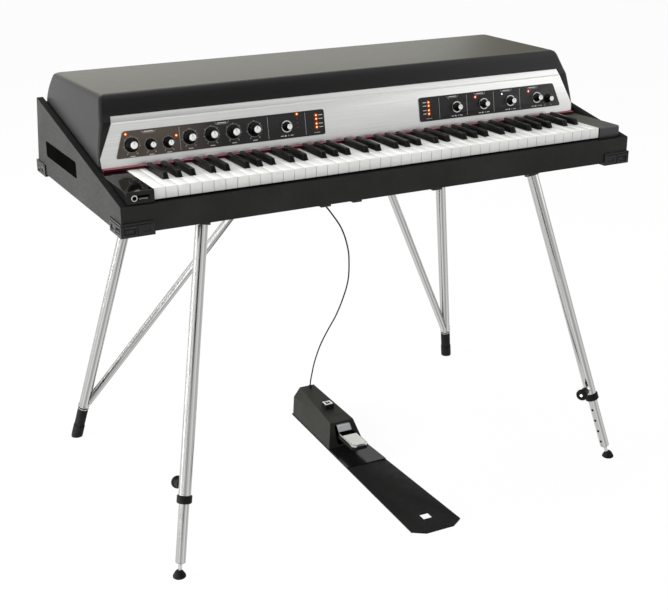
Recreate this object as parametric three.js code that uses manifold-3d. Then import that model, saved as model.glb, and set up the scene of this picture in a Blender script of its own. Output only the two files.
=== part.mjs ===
// Stage electric piano on four splayed legs, with its sustain pedal on the floor.
// Millimetres, +Z up, X along the keyboard, the player stands on the -Y side.
// The origin is on the floor, under the middle of the whole footprint.
import * as THREE from 'three';
import { mergeVertices } from 'three/addons/utils/BufferGeometryUtils.js';
import Module from 'manifold-3d';

const wasm = await Module();
wasm.setup();

// Overall sizes
const caseWidth = 1148;
const caseDepth = 567;
const caseHeight = 684;
const caseFrontY = -242;
const gap = 0.3;
const overrun = 2;
const quarterTurn = 90;

// Case boards
const sideThickness = 14;
const boardThickness = 12;
const railThickness = 12;
const railHeight = 52;
const rearThickness = 12;
const sideRearHeight = 161;
const rearSetback = 37;
const sideInner = caseWidth / 2 - sideThickness;
const cornerRadius = 6;

// Handle pocket in each side
const handleSetback = 299;
const handleFront = caseDepth - handleSetback;
const handleLength = 218;
const handleBottom = 44;
const handleHeight = 33;
const pocketDepth = 26;
const pocketWall = 3;

// Corner protectors
const protectorLength = 62;
const protectorHeight = 21;
const protectorWall = 3;
const protectorBase = 5;
const protectorFootRadius = 9;
const protectorFootHeight = 3;

// Hood
const hoodHeight = 214;
const hoodWall = 3;
const hoodSkirtSink = 8;
const hoodSideClearance = 2;
const hoodBottomHalfWidth = sideInner - hoodSideClearance;
const hoodFrontDraw = 25;
const hoodFrontHalfWidth = hoodBottomHalfWidth - hoodFrontDraw;
const hoodRearDraw = 17;
const hoodRearHalfWidth = hoodBottomHalfWidth - hoodRearDraw;
const hoodFrontFoot = 171;
const hoodFrontTop = 216;
const hoodRearFootSetback = 43;
const hoodRearFoot = caseDepth - hoodRearFootSetback;
const hoodRearTopSetback = 56;
const hoodRearTop = caseDepth - hoodRearTopSetback;
const hoodCornerRadius = 16;
const hoodTopRadius = 12;
const hoodFrontBow = 1.3;
const hoodRearBow = 2;
const cleatWidth = 9;
const cleatHeight = 8;

// Control panel
const panelThickness = 2;
const panelBottomY = 172;
const panelBottomZ = 82;
const panelFoldY = 185;
const panelFoldZ = 163;
const panelTopY = 194;
const panelTopZ = 175;
const panelKinkZ = 100;
const panelBottomInset = 7;
const panelBottomHalfWidth = hoodBottomHalfWidth - panelBottomInset;
const panelKinkInset = 6;
const panelKinkHalfWidth = hoodBottomHalfWidth - panelKinkInset;
const panelFoldInset = 35;
const panelFoldHalfWidth = hoodBottomHalfWidth - panelFoldInset;
const panelTopInset = 38;
const panelTopHalfWidth = hoodBottomHalfWidth - panelTopInset;
const panelFlange = 16;
const windowMargin = 0.8;

// Control plates on the panel, measured along its face from the bottom edge
const plateThickness = 1.6;
const plateLow = 14.5;
const plateHigh = 65.5;
const plateCornerRadius = 5;
const leftPlateLowInset = 30;
const leftPlateOuterLow = panelBottomHalfWidth - leftPlateLowInset;
const leftPlateHighInset = 48;
const leftPlateOuterHigh = panelBottomHalfWidth - leftPlateHighInset;
const leftPlateInner = 75.5;
const rightPlateLowInset = 31;
const rightPlateOuterLow = panelBottomHalfWidth - rightPlateLowInset;
const rightPlateHighInset = 49;
const rightPlateOuterHigh = panelBottomHalfWidth - rightPlateHighInset;
const rightPlateInner = 152;

// Knobs
const bigKnobRadius = 12.6;
const smallKnobRadius = 9.6;
const ringKnobRadius = 9.8;
const knobHeight = 16.5;
const knobSkirtHeight = 5;
const knobCapShare = 0.62;
const knobFlare = 1.15;
const knobSegments = 10;
const shaftRadius = 3;
const shaftClearance = 0.9;
const shaftReach = 7;
const holeSegments = 6;
const bezelOuterRadius = 13.2;
const bezelInnerRadius = 10.6;
const bezelHeight = 1.8;
const jackHoleRadius = 3.4;
const jackRingRadius = 5.8;
const jackAcross = 0.72;

// Preamplifier board behind the panel
const preampThickness = 1.6;
const preampStandoff = 9;
const preampLow = 26;
const preampHigh = 76;
const preampInset = 20;
const preampHalfWidth = panelTopHalfWidth - preampInset;

// Cheek blocks
const leftCheekFront = 5;
const rightCheekFront = 14;
const cheekWidth = 53;
const cheekInnerEdge = sideInner - cheekWidth;
const cheekTop = 76;
const cheekRear = 196;
const cheekBevel = 3;

// Keys
const whiteCount = 43;
const keyboardClearance = 1.75;
const whitePitch = (cheekInnerEdge - keyboardClearance) * 2 / whiteCount;
const keyFront = 15;
const keyTop = 76;
const keyBodyHeight = 21.5;
const keyGap = 1;
const keyHeadLength = 49;
const keyRearSetback = 182;
const keyRear = caseDepth - keyRearSetback;
const blackFront = 65;
const blackWidth = 12;
const blackTopWidth = 9.4;
const blackRise = 12;
const blackFrontSlope = 6;
const blackClearance = 1.1;
const blackEnd = 157;
const firstMovingWhite = 19;
const movingWhites = 7;
const firstLetter = 2;

// Key frame
const pivotSetback = 325;
const pivotY = caseDepth - pivotSetback;
const ridgeWidth = 3;
const ridgeRise = 4.5;
const keySeat = 0.7;
const frontRailFront = 36;
const frontRailWidth = 40;
const frontRailTop = 44;
const balanceRailWidth = 36;
const backRailWidth = 24;
const frameEndClearance = 4;
const frameHalfWidth = cheekInnerEdge - frameEndClearance;
const frameEndWidth = 14;
const frameEndHeight = 14;

// Red felt under the panel
const feltHalfWidth = panelBottomHalfWidth;
const feltFront = 160;
const feltDepth = 21;
const feltHeight = 4.6;

// Action: hammers on their rail
const actionSideClearance = 22;
const actionHalfWidth = sideInner - pocketDepth - actionSideClearance;
const actionPostWidth = 10;
const actionPostTop = 138;
const actionPostSpread = 12;
const hammerRailSetback = 149;
const hammerRailY = caseDepth - hammerRailSetback;
const hammerRailDepth = 26;
const hammerRailBottom = 96;
const hammerRailHeight = 16;
const hammerWidth = 8;
const hammerHeadSetback = 237;
const hammerHeadY = caseDepth - hammerHeadSetback;
const hammerHeadDepth = 12;
const hammerHeadTop = 119;
const hammerArmHeight = 7;

// Harp: tone bars, tines and pickups
const harpBottom = 128;
const harpRailHeight = 12;
const harpSetback = 267;
const harpFrontY = caseDepth - harpSetback;
const harpRailDepth = 22;
const harpEndWidth = 10;
const toneBarWidth = 8;
const toneBarHeight = 3;
const toneBarRise = 18;
const toneBarOverhang = 4;
const bassBarLength = 182;
const trebleBarLength = 64;
const tineWidth = 2.4;
const tineRise = 3;
const tineBlockDepth = 14;
const bassTineLength = 148;
const trebleTineLength = 40;
const tineEndGap = 1.2;
const pickupRailDepth = 20;
const pickupRailRise = 16;
const pickupRailHeight = 12;
const harpPostDepth = 16;

// Dampers
const damperPivotSetback = 101;
const damperPivotY = caseDepth - damperPivotSetback;
const damperRailDepth = 10;
const damperRailHeight = 10;
const damperArmHeight = 3;
const damperArmWidth = 6;
const damperPadHeight = 6;
const damperRestGap = 0.6;
const damperHeadSetback = 221;
const damperHeadY = caseDepth - damperHeadSetback;
const damperPinRadius = 2.5;
const damperPinReach = 6;

// Legs
const legTopInset = 192;
const legTopX = caseWidth / 2 - legTopInset;
const frontLegTopY = 94;
const rearLegTopSetback = 104;
const rearLegTopY = caseDepth - rearLegTopSetback;
const legFootInset = 45.5;
const legFootX = caseWidth / 2 - legFootInset;
const frontLegFootY = -66;
const rearLegSplay = 64;
const rearLegFootY = caseDepth + rearLegSplay;
const legRadius = 12.6;
const tubeWall = 1.6;
const legSegments = 12;
const pinSegments = 12;
const lowerLegRadius = 10.4;
const legSocketRadius = 17;
const legSocketLength = 30;
const socketBore = 22;
const socketFit = 0.3;
const socketPlateWidth = 84;
const socketPlateDepth = 70;
const socketPlateHeight = 5;
const collarHeight = 147;
const collarLength = 16;
const collarRadius = 15.2;
const lowerLegOverlap = 150;
const holePitch = 25.4;
const holeRadius = 2.6;
const holeCount = 4;
const firstHoleDrop = 22;
const footRadius = 13;
const footTopRadius = 7;
const footHeight = 14;
const footNeckRadius = 4;
const footNeckLength = 11;
const tubeEndRound = 4;

// Clamp screws at the front collars
const screwRadius = 3.4;
const screwBossRadius = 6.5;
const screwBossLength = 10;
const screwRise = 22;
const screwHeadRadius = 12.8;
const screwHeadLength = 9;
const screwHeadRound = 2;
const screwHubRadius = 9;
const screwHubLength = 18;
const screwFit = 0.3;
const leftScrewTurn = 87;
const rightScrewTurn = 210;
const leftHoleTurn = 87;
const rightHoleTurn = 197;

// Rear feet
const sleeveTop = 84;
const sleeveGroove = 34;
const grooveDepth = 1.8;
const grooveWidth = 6;
const rearFootRadius = 13.4;
const sleeveRadius = 12.4;
const rearFootRound = 4;

// Cross braces
const braceTopX = 131;
const braceTopSetback = 233;
const braceTopY = caseDepth - braceTopSetback;
const braceRadius = 9.4;
const braceJoinHeight = 76;
const braceSegments = 10;
const braceSocketRadius = 14;
const braceSocketLength = 24;
const braceSocketBore = 16;
const braceCopeGap = 0.5;
const braceStart = 6;
const braceFootHeight = 88;

// Blocks under the case front
const jackBlockX = 131;
const jackBlockWidth = 31;
const jackBlockFront = 74;
const jackBlockDepth = 34;
const jackBlockDrop = 27;
const jackBlockBevel = 9;
const latchBlockX = -55;
const latchBlockWidth = 20;

// Pedal
const pedalFrontX = 12;
const pedalFrontY = -402;
const pedalTurn = -0.85;
const pedalBaseThickness = 3;
const pedalBaseLength = 647;
const pedalBaseFrontHalf = 60;
const pedalBaseRearHalf = 40;
const pedalTipHalf = 33;
const pedalTipCut = 18;
const pedalHoleY = 60;
const pedalHoleSize = 22;
const pedalHoleX = 0;
const toePlateFront = 325;
const toePlateHeight = 2;
const housingFront = 426;
const housingLean = 24;
const housingLength = 216;
const housingEdgeInset = 1;
const housingSteps = 6;
const housingShoulderFrontHalf = 32;
const housingShoulderRearHalf = 36;
const housingWall = 2;
const housingFrontHeight = 57;
const housingRearHeight = 72;
const housingShoulderHeight = 50;
const housingTopFrontHalf = 30;
const housingTopRearHalf = 19;
const mouthHalfWidth = 21;
const mouthLow = 8;
const mouthHigh = 52.5;
const mouthCorner = 5;
const pedalPivotBack = 130;
const pedalPivotHeight = 42;
const leverThickness = 4;
const leverHalfWidth = 17;
const neckTopSetback = 15;
const neckTopHeight = 51;
const neckFootSetback = 5;
const tongueUnderside = 34;
const tongueLength = 80;
const tongueHalfWidth = 20.5;
const tongueChamfer = 8;
const tonguePad = 2;
const tonguePadInset = 3;
const tonguePadLength = 56;
const pivotPinRadius = 3;
const pivotHubRadius = 6.5;
const pivotFit = 0.3;
const buttonSize = 22;
const buttonHeight = 11;
const buttonBack = 98;
const glandRadius = 4.5;
const glandHeight = 5;
const glandBack = 206;
const glandX = 5;

// Cord from the case to the pedal
const cordRadius = 1.6;
const cordSteps = 48;
const cordSides = 8;
const cordPoints = [
  [-119, -153.5, 656.7], [-118.7, -153.3, 653], [-110.9, -149.5, 643.8], [-70.9, -126.8, 593.7],
  [-36.7, -91.2, 533.6], [-17.4, -59.7, 488.6], [3.2, -15.5, 431.2], [15.8, 33.1, 371.6],
  [22.6, 82.9, 310.8], [21, 122.1, 260.9], [19.6, 158.7, 210.4], [21.7, 196.6, 149.8],
  [24.1, 216.4, 110.4], [25.9, 226.8, 90], [26.4, 229.6, 81], [26.4, 229.8, 76.6],
];

// Materials
const paint = (color, roughness, metalness) => new THREE.MeshStandardMaterial({
  color, roughness, metalness,
});
const blackVinyl = paint(0x3a3a39, 0.75, 0);
const hoodShell = paint(0x32322f, 0.42, 0);
const brushedAluminium = paint(0xc9cacb, 0.38, 0.9);
const plateBlack = paint(0x2b2a2a, 0.5, 0.2);
const knobBlack = paint(0x151515, 0.4, 0);
const whitePlastic = paint(0xf2f1ec, 0.25, 0);
const blackPlastic = paint(0x131312, 0.3, 0);
const greyPlastic = paint(0x5b5b57, 0.6, 0);
const redFelt = paint(0x9c1626, 0.95, 0);
const chrome = paint(0xd9dad8, 0.12, 1);
const blackRubber = paint(0x1c1c1b, 0.7, 0);
const pressedSteel = paint(0x26261f, 0.5, 0.3);
const springSteel = paint(0xb9b6ad, 0.35, 0.9);
const beech = paint(0xc79a64, 0.7, 0);
const boardGreen = paint(0x24513a, 0.6, 0);

// Geometry helpers
const upY = new THREE.Matrix4().makeBasis(
  new THREE.Vector3(0, 1, 0), new THREE.Vector3(0, 0, 1), new THREE.Vector3(1, 0, 0));
const upX = new THREE.Matrix4().makeBasis(
  new THREE.Vector3(1, 0, 0), new THREE.Vector3(0, 0, 1), new THREE.Vector3(0, -1, 0));
const vec = (x, y, z) => new THREE.Vector3(x, y, z);
const lerp = THREE.MathUtils.lerp;
const degrees = THREE.MathUtils.degToRad;

function signedVolume(geometry) {
  const p = geometry.attributes.position;
  const index = geometry.index.array;
  const [a, b, c] = [vec(), vec(), vec()];
  let sum = 0;
  for (let i = 0; i < index.length; i += 3) {
    a.fromBufferAttribute(p, index[i]);
    b.fromBufferAttribute(p, index[i + 1]);
    c.fromBufferAttribute(p, index[i + 2]);
    sum += a.dot(b.cross(c));
  }
  return sum;
}

function solid(geometry) {
  const bare = geometry.clone();
  bare.deleteAttribute('uv');
  bare.deleteAttribute('normal');
  const merged = mergeVertices(bare, gap / 100);
  const triVerts = Uint32Array.from(merged.index.array);
  if (signedVolume(merged) < 0) triVerts.reverse();
  return new wasm.Manifold(new wasm.Mesh({
    numProp: 3, vertProperties: Float32Array.from(merged.attributes.position.array), triVerts,
  }));
}

function geometryOf(body) {
  const mesh = body.getMesh();
  const geometry = new THREE.BufferGeometry();
  geometry.setAttribute('position', new THREE.BufferAttribute(Float32Array.from(mesh.vertProperties), 3));
  geometry.setIndex(new THREE.BufferAttribute(Uint32Array.from(mesh.triVerts), 1));
  geometry.computeVertexNormals();
  return geometry;
}

const join = (...bodies) => bodies.reduce((sum, body) => sum.add(body));
const cut = (body, ...tools) => tools.reduce((rest, tool) => rest.subtract(tool), body);

function slab(x0, x1, y0, y1, z0, z1) {
  const box = new THREE.BoxGeometry(x1 - x0, y1 - y0, z1 - z0);
  return solid(box.translate((x0 + x1) / 2, (y0 + y1) / 2, (z0 + z1) / 2));
}

function outline(points) {
  return new THREE.Shape(points.map(([u, v]) => new THREE.Vector2(u, v)));
}

function roundedOutline(points, radius) {
  const shape = new THREE.Shape();
  const count = points.length;
  const corners = points.map(([u, v]) => new THREE.Vector2(u, v));
  corners.forEach((corner, i) => {
    const before = corners[(i + count - 1) % count].clone().sub(corner).setLength(radius).add(corner);
    const after = corners[(i + 1) % count].clone().sub(corner).setLength(radius).add(corner);
    if (i === 0) shape.moveTo(before.x, before.y);
    else shape.lineTo(before.x, before.y);
    shape.quadraticCurveTo(corner.x, corner.y, after.x, after.y);
  });
  shape.closePath();
  return shape;
}

function extrude(shape, depth, curveSegments = 3) {
  return new THREE.ExtrudeGeometry(shape, { depth, bevelEnabled: false, curveSegments });
}

// Prisms whose outline lies across X, across Y or flat
const prismX = (shape, x0, x1) => solid(extrude(shape, x1 - x0).applyMatrix4(upY).translate(x0, 0, 0));
const prismY = (shape, y0, y1) => solid(extrude(shape, y1 - y0).applyMatrix4(upX).translate(0, y1, 0));
const prismZ = (shape, z0, z1) => solid(extrude(shape, z1 - z0).translate(0, 0, z0));

function turned(profile, segments) {
  const points = profile.map(([r, z]) => new THREE.Vector2(r, z));
  return new THREE.LatheGeometry(points, segments).rotateX(Math.PI / 2);
}

// Turns a geometry so that its +Z runs along a direction, and puts its origin at a point
function aim(geometry, point, direction) {
  const turn = new THREE.Quaternion().setFromUnitVectors(vec(0, 0, 1), direction.clone().normalize());
  return geometry.applyQuaternion(turn).translate(point.x, point.y, point.z);
}

const rod = (radius, z0, z1, segments) => turned([[0, z0], [radius, z0], [radius, z1], [0, z1]], segments);
const pipe = (radius, bore, z0, z1, segments) => turned(
  [[bore, z0], [radius, z0], [radius, z1], [bore, z1], [bore, z0]], segments);

// A closed body through rings of points that all have the same count
function loft(rings) {
  const count = rings[0].length;
  const positions = rings.flat().flatMap(({ x, y, z }) => [x, y, z]);
  const index = [];
  for (let r = 0; r + 1 < rings.length; r += 1) {
    for (let i = 0; i < count; i += 1) {
      const a = r * count + i;
      const b = r * count + (i + 1) % count;
      index.push(a, b, b + count, a, b + count, a + count);
    }
  }
  const last = (rings.length - 1) * count;
  for (let i = 1; i + 1 < count; i += 1) {
    index.push(0, i + 1, i);
    index.push(last, last + i, last + i + 1);
  }
  const geometry = new THREE.BufferGeometry();
  geometry.setAttribute('position', new THREE.Float32BufferAttribute(positions, 3));
  geometry.setIndex(index);
  return solid(geometry);
}

const piano = new THREE.Group();
const housing = new THREE.Group();
housing.position.set(0, caseFrontY, caseHeight);
piano.add(housing);

function add(name, body, material, group = housing) {
  const geometry = body.isBufferGeometry ? body : geometryOf(body);
  const mesh = new THREE.Mesh(geometry, material);
  mesh.name = name;
  group.add(mesh);
  return mesh;
}

// Case: in the housing group y = 0 is the front face and z = 0 the underside
const slope = (sideRearHeight - railHeight) / (caseDepth - rearSetback);
const sideTop = (y) => railHeight + slope * y;
const rearFace = (z) => caseDepth - rearSetback * z / sideRearHeight;
const rearInner = (z) => rearFace(z) - rearThickness;
const boardHalfWidth = sideInner - gap;
const rearPanelTop = sideTop(hoodRearFoot - hoodWall) - hoodSkirtSink - gap;

function sidePanel(side) {
  const panel = prismX(outline([
    [0, 0], [caseDepth, 0], [rearFace(sideRearHeight), sideRearHeight], [0, railHeight],
  ]), sideInner, caseWidth / 2);
  const pocket = (grow) => roundedOutline([
    [handleFront - grow, handleBottom - grow], [handleFront + handleLength + grow, handleBottom - grow],
    [handleFront + handleLength + grow, handleBottom + handleHeight + grow],
    [handleFront - grow, handleBottom + handleHeight + grow],
  ], cornerRadius + grow);
  const cup = prismX(pocket(pocketWall), sideInner - pocketDepth, sideInner + overrun);
  const hollow = prismX(pocket(0), sideInner - pocketDepth + pocketWall, caseWidth / 2 + overrun);
  const cleatFront = cheekRear + gap;
  const cleatRear = rearInner(rearPanelTop) - gap;
  const cleatTop = (y) => sideTop(y) - hoodSkirtSink - gap;
  const cleat = prismX(outline([
    [cleatFront, cleatTop(cleatFront) - cleatHeight], [cleatRear, cleatTop(cleatRear) - cleatHeight],
    [cleatRear, cleatTop(cleatRear)], [cleatFront, cleatTop(cleatFront)],
  ]), sideInner - cleatWidth, sideInner + overrun);
  const body = cut(join(panel, cup, cleat), hollow);
  return side > 0 ? body : body.mirror([1, 0, 0]);
}

add('left_side_panel', sidePanel(-1), blackVinyl);
add('right_side_panel', sidePanel(1), blackVinyl);
add('front_rail', slab(-boardHalfWidth, boardHalfWidth, 0, railThickness, 0, railHeight), blackVinyl);
add('rear_panel', prismX(outline([
  [rearInner(0), 0], [rearFace(0), 0], [rearFace(rearPanelTop), rearPanelTop],
  [rearInner(rearPanelTop), rearPanelTop],
]), -boardHalfWidth, boardHalfWidth), blackVinyl);

// Leg axes in the housing group, from the floor up to the case
const legAxis = (side, rear) => {
  const foot = vec(side * legFootX, rear ? rearLegFootY : frontLegFootY, -caseHeight);
  const top = vec(side * legTopX, rear ? rearLegTopY : frontLegTopY, 0);
  return { foot, top, up: top.clone().sub(foot).normalize() };
};
const along = (axis, height) => axis.foot.clone().lerp(axis.top, height / caseHeight);
const braceAxis = (side) => {
  const foot = along(legAxis(side, true), braceJoinHeight);
  const top = vec(side * braceTopX, braceTopY, 0);
  return { foot, top, up: top.clone().sub(foot).normalize() };
};

// A blind socket under the board, in line with the tube that enters it
function socket(axis, radius, length, bore, tubeRadius, segments) {
  const boss = solid(aim(rod(radius, -length, boardThickness / 2, segments), axis.top, axis.up));
  const hole = solid(aim(rod(tubeRadius + socketFit, -length - overrun, bore - length, segments),
    axis.top, axis.up));
  return { boss, hole };
}

function bottomBoard() {
  const front = railThickness + gap;
  const rear = rearInner(boardThickness) - gap;
  const body = [slab(-boardHalfWidth, boardHalfWidth, front, rear, 0, boardThickness)];
  const holes = [];
  const above = slab(-boardHalfWidth, boardHalfWidth, front, rear, boardThickness, boardThickness * 4);
  for (const side of [-1, 1]) {
    for (const rearLeg of [false, true]) {
      const axis = legAxis(side, rearLeg);
      const plate = slab(
        axis.top.x - socketPlateWidth / 2, axis.top.x + socketPlateWidth / 2,
        axis.top.y - socketPlateDepth / 2, axis.top.y + socketPlateDepth / 2,
        -socketPlateHeight, boardThickness / 2);
      const { boss, hole } = socket(
        axis, legSocketRadius, legSocketLength, socketBore, legRadius, legSegments);
      body.push(plate, boss);
      holes.push(hole);
    }
    const brace = braceAxis(side);
    const { boss, hole } = socket(
      brace, braceSocketRadius, braceSocketLength, braceSocketBore, braceRadius, braceSegments);
    body.push(boss);
    holes.push(hole);
    const x = side * jackBlockX;
    body.push(prismY(outline([
      [x - jackBlockWidth / 2, boardThickness / 2], [x - jackBlockWidth / 2, jackBlockBevel - jackBlockDrop],
      [x - jackBlockWidth / 2 + jackBlockBevel, -jackBlockDrop], [x + jackBlockWidth / 2, -jackBlockDrop],
      [x + jackBlockWidth / 2, boardThickness / 2],
    ]), jackBlockFront, jackBlockFront + jackBlockDepth));
  }
  body.push(slab(latchBlockX - latchBlockWidth / 2, latchBlockX + latchBlockWidth / 2,
    jackBlockFront, jackBlockFront + jackBlockDepth, -jackBlockDrop, boardThickness / 2));
  return cut(join(...body), above, ...holes);
}
add('bottom_board', bottomBoard(), beech);

// Corner protectors wrap the two walls and the underside at each bottom corner
function protector(side, rear) {
  const outerX = caseWidth / 2 + protectorWall;
  const wallY = rear ? caseDepth + protectorWall : -protectorWall;
  const innerY = rear ? caseDepth - protectorLength : protectorLength;
  const [y0, y1] = [Math.min(wallY, innerY), Math.max(wallY, innerY)];
  const block = slab(caseWidth / 2 - protectorLength, outerX, y0, y1, -protectorBase, protectorHeight);
  const lean = rear ? rearFace(protectorHeight + overrun) : 0;
  const hollow = prismX(outline(rear
    ? [[y0 - overrun, -gap], [caseDepth + gap, -gap], [lean + gap, protectorHeight + overrun],
      [y0 - overrun, protectorHeight + overrun]]
    : [[-gap, -gap], [y1 + overrun, -gap], [y1 + overrun, protectorHeight + overrun],
      [-gap, protectorHeight + overrun]]),
  caseWidth / 2 - protectorLength - overrun, caseWidth / 2 + gap);
  const footX = caseWidth / 2 - protectorLength / 2;
  const footY = rear ? caseDepth - protectorLength / 2 : protectorLength / 2;
  const foot = solid(turned([[0, -protectorBase - protectorFootHeight],
    [protectorFootRadius, -protectorBase - protectorFootHeight],
    [protectorFootRadius + protectorFootHeight, -protectorBase / 2], [0, -protectorBase / 2],
  ], holeSegments).translate(footX, footY, 0));
  const body = join(cut(block, hollow), foot);
  return side > 0 ? body : body.mirror([1, 0, 0]);
}
add('front_left_corner', protector(-1, false), blackPlastic);
add('front_right_corner', protector(1, false), blackPlastic);
add('rear_left_corner', protector(-1, true), blackPlastic);
add('rear_right_corner', protector(1, true), blackPlastic);

// Hood: flared sides between the sloping lower edge and the flat top
const hoodFrontBottom = sideTop(hoodFrontFoot) - hoodSkirtSink;
function frontProfile(z) {
  const stops = [[hoodFrontBottom, hoodFrontFoot], [panelFoldZ, panelFoldY],
    [panelTopZ, panelTopY], [hoodHeight, hoodFrontTop]];
  for (let i = 0; i + 1 < stops.length; i += 1) {
    const [z0, y0] = stops[i];
    const [z1, y1] = stops[i + 1];
    if (z <= z1 || i + 2 === stops.length) return lerp(y0, y1, (z - z0) / (z1 - z0));
  }
  return hoodFrontTop;
}

function hoodRing(share, inset, arcSteps = 3) {
  const front = frontProfile(lerp(hoodFrontBottom, hoodHeight, share)) + inset;
  const rear = lerp(hoodRearFoot, hoodRearTop, share) - inset;
  const radius = hoodCornerRadius - Math.min(inset, hoodCornerRadius / 2);
  const centre = (y) => {
    const back = THREE.MathUtils.clamp((y - front) / (rear - front), 0, 1);
    const top = lerp(hoodFrontHalfWidth, hoodRearHalfWidth, back);
    return lerp(hoodBottomHalfWidth, top, Math.pow(Math.max(share, 0), lerp(hoodFrontBow, hoodRearBow, back)))
      - inset;
  };
  const height = (y) => lerp(sideTop(y) - hoodSkirtSink, hoodHeight, share);
  const ring = [];
  const corners = [[1, front + radius, -quarterTurn], [1, rear - radius, 0],
    [-1, rear - radius, quarterTurn], [-1, front + radius, quarterTurn * 2]];
  for (const [side, y, start] of corners) {
    for (let i = 0; i <= arcSteps; i += 1) {
      const angle = degrees(start + quarterTurn * i / arcSteps);
      const py = y + radius * Math.sin(angle);
      const px = side * (centre(y) - radius) + radius * Math.cos(angle);
      ring.push(vec(px, py, height(py)));
    }
  }
  return ring;
}

function hoodBody(inset) {
  const shareOf = (z) => (z - hoodFrontBottom) / (hoodHeight - hoodFrontBottom);
  const round = hoodTopRadius;
  const top = hoodHeight - inset;
  const shares = [shareOf(panelKinkZ), shareOf(panelFoldZ), shareOf(panelTopZ)];
  const rings = [hoodRing(inset > 0 ? shareOf(hoodFrontBottom - hoodWall * 2) : 0, inset)];
  shares.forEach((share) => rings.push(hoodRing(share, inset)));
  for (const angle of [0, 45, 90]) {
    const sink = round * (1 - Math.sin(degrees(angle)));
    const draw = round * (1 - Math.cos(degrees(angle)));
    rings.push(hoodRing(shareOf(top - sink), inset + draw));
  }
  return loft(rings);
}

const windowShape = outline([
  [-panelKinkHalfWidth - windowMargin, 0], [panelKinkHalfWidth + windowMargin, 0],
  [panelKinkHalfWidth + windowMargin, panelKinkZ], [panelFoldHalfWidth + windowMargin, panelFoldZ],
  [panelTopHalfWidth + windowMargin, panelTopZ + windowMargin],
  [-panelTopHalfWidth - windowMargin, panelTopZ + windowMargin],
  [-panelFoldHalfWidth - windowMargin, panelFoldZ], [-panelKinkHalfWidth - windowMargin, panelKinkZ],
]);
add('hood', cut(hoodBody(0), hoodBody(hoodWall),
  prismY(windowShape, 0, hoodFrontTop)), hoodShell);

// Control panel: a bent sheet with slanted ends
const faceUp = vec(0, panelFoldY - panelBottomY, panelFoldZ - panelBottomZ).normalize();
const faceOut = vec(0, -faceUp.z, faceUp.y);
const facePoint = (x, s, lift) => vec(x, panelBottomY, panelBottomZ)
  .addScaledVector(faceUp, s).addScaledVector(faceOut, lift);
const faceTurn = new THREE.Matrix4().makeBasis(vec(1, 0, 0), faceUp, faceOut);
const onFace = (geometry, x, s, lift) => {
  const p = facePoint(x, s, lift);
  return geometry.applyMatrix4(faceTurn).translate(p.x, p.y, p.z);
};

// Knob places: share of the hood's half width, then the height up the panel's face
const bigKnobs = [[-0.8746, 38.5], [-0.6622, 40.5], [-0.5806, 41], [-0.4973, 41], [-0.4167, 41]];
const smallKnobs = [[-0.8065, 35.5], [-0.7419, 35.5], [0.8701, 33]];
const ringKnobs = [[-0.2903, 39], [0.4382, 38], [0.5636, 38], [0.6891, 38], [0.8172, 38]];
const knobAt = ([share, s], radius, ringed) => ({ x: share * hoodBottomHalfWidth, s, radius, ringed });
const knobSpots = [
  ...bigKnobs.map((spot) => knobAt(spot, bigKnobRadius, false)),
  ...smallKnobs.map((spot) => knobAt(spot, smallKnobRadius, false)),
  ...ringKnobs.map((spot) => knobAt(spot, ringKnobRadius, true)),
].sort((a, b) => a.x - b.x);
const shaftHole = ({ x, s }) => solid(onFace(
  rod(shaftRadius + shaftClearance, -shaftReach - panelThickness, plateThickness * 3, holeSegments),
  x, s, 0));

function controlPanel() {
  const t = panelThickness;
  const lean = (panelFoldY - panelBottomY) / (panelFoldZ - panelBottomZ);
  const profile = outline([
    [panelBottomY, panelBottomZ], [panelFoldY, panelFoldZ], [panelTopY, panelTopZ],
    [panelTopY + t, panelTopZ], [panelFoldY + t, panelFoldZ - t / 2],
    [panelBottomY + t + lean * t, panelBottomZ + t],
    [panelBottomY + panelFlange, panelBottomZ + t], [panelBottomY + panelFlange, panelBottomZ],
  ]);
  const sheet = prismX(profile, -panelKinkHalfWidth - overrun, panelKinkHalfWidth + overrun);
  const ends = prismY(outline([
    [-panelBottomHalfWidth, panelBottomZ - overrun], [panelBottomHalfWidth, panelBottomZ - overrun],
    [panelKinkHalfWidth, panelKinkZ], [panelFoldHalfWidth, panelFoldZ],
    [panelTopHalfWidth, panelTopZ + overrun], [-panelTopHalfWidth, panelTopZ + overrun],
    [-panelFoldHalfWidth, panelFoldZ], [-panelKinkHalfWidth, panelKinkZ],
  ]), panelBottomY - panelFlange, panelTopY + panelFlange);
  return cut(sheet.intersect(ends), ...knobSpots.map(shaftHole));
}
add('control_panel', controlPanel(), brushedAluminium);

function controlPlate(corners, side) {
  const shape = roundedOutline(corners, plateCornerRadius);
  const plate = solid(onFace(extrude(shape, plateThickness), 0, 0, gap));
  const mine = knobSpots.filter(({ x }) => Math.sign(x) === side);
  const bezels = mine.filter(({ ringed }) => ringed).map(({ x, s }) => solid(onFace(
    pipe(bezelOuterRadius, bezelInnerRadius, plateThickness / 2, plateThickness + bezelHeight, legSegments),
    x, s, gap)));
  return cut(join(plate, ...bezels), ...mine.map(shaftHole));
}
add('left_control_plate', controlPlate([
  [-leftPlateOuterLow, plateLow], [-leftPlateInner, plateLow],
  [-leftPlateInner, plateHigh], [-leftPlateOuterHigh, plateHigh],
], -1), plateBlack);
add('right_control_plate', controlPlate([
  [rightPlateInner, plateLow], [rightPlateOuterLow, plateLow],
  [rightPlateOuterHigh, plateHigh], [rightPlateInner, plateHigh],
], 1), plateBlack);

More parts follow.
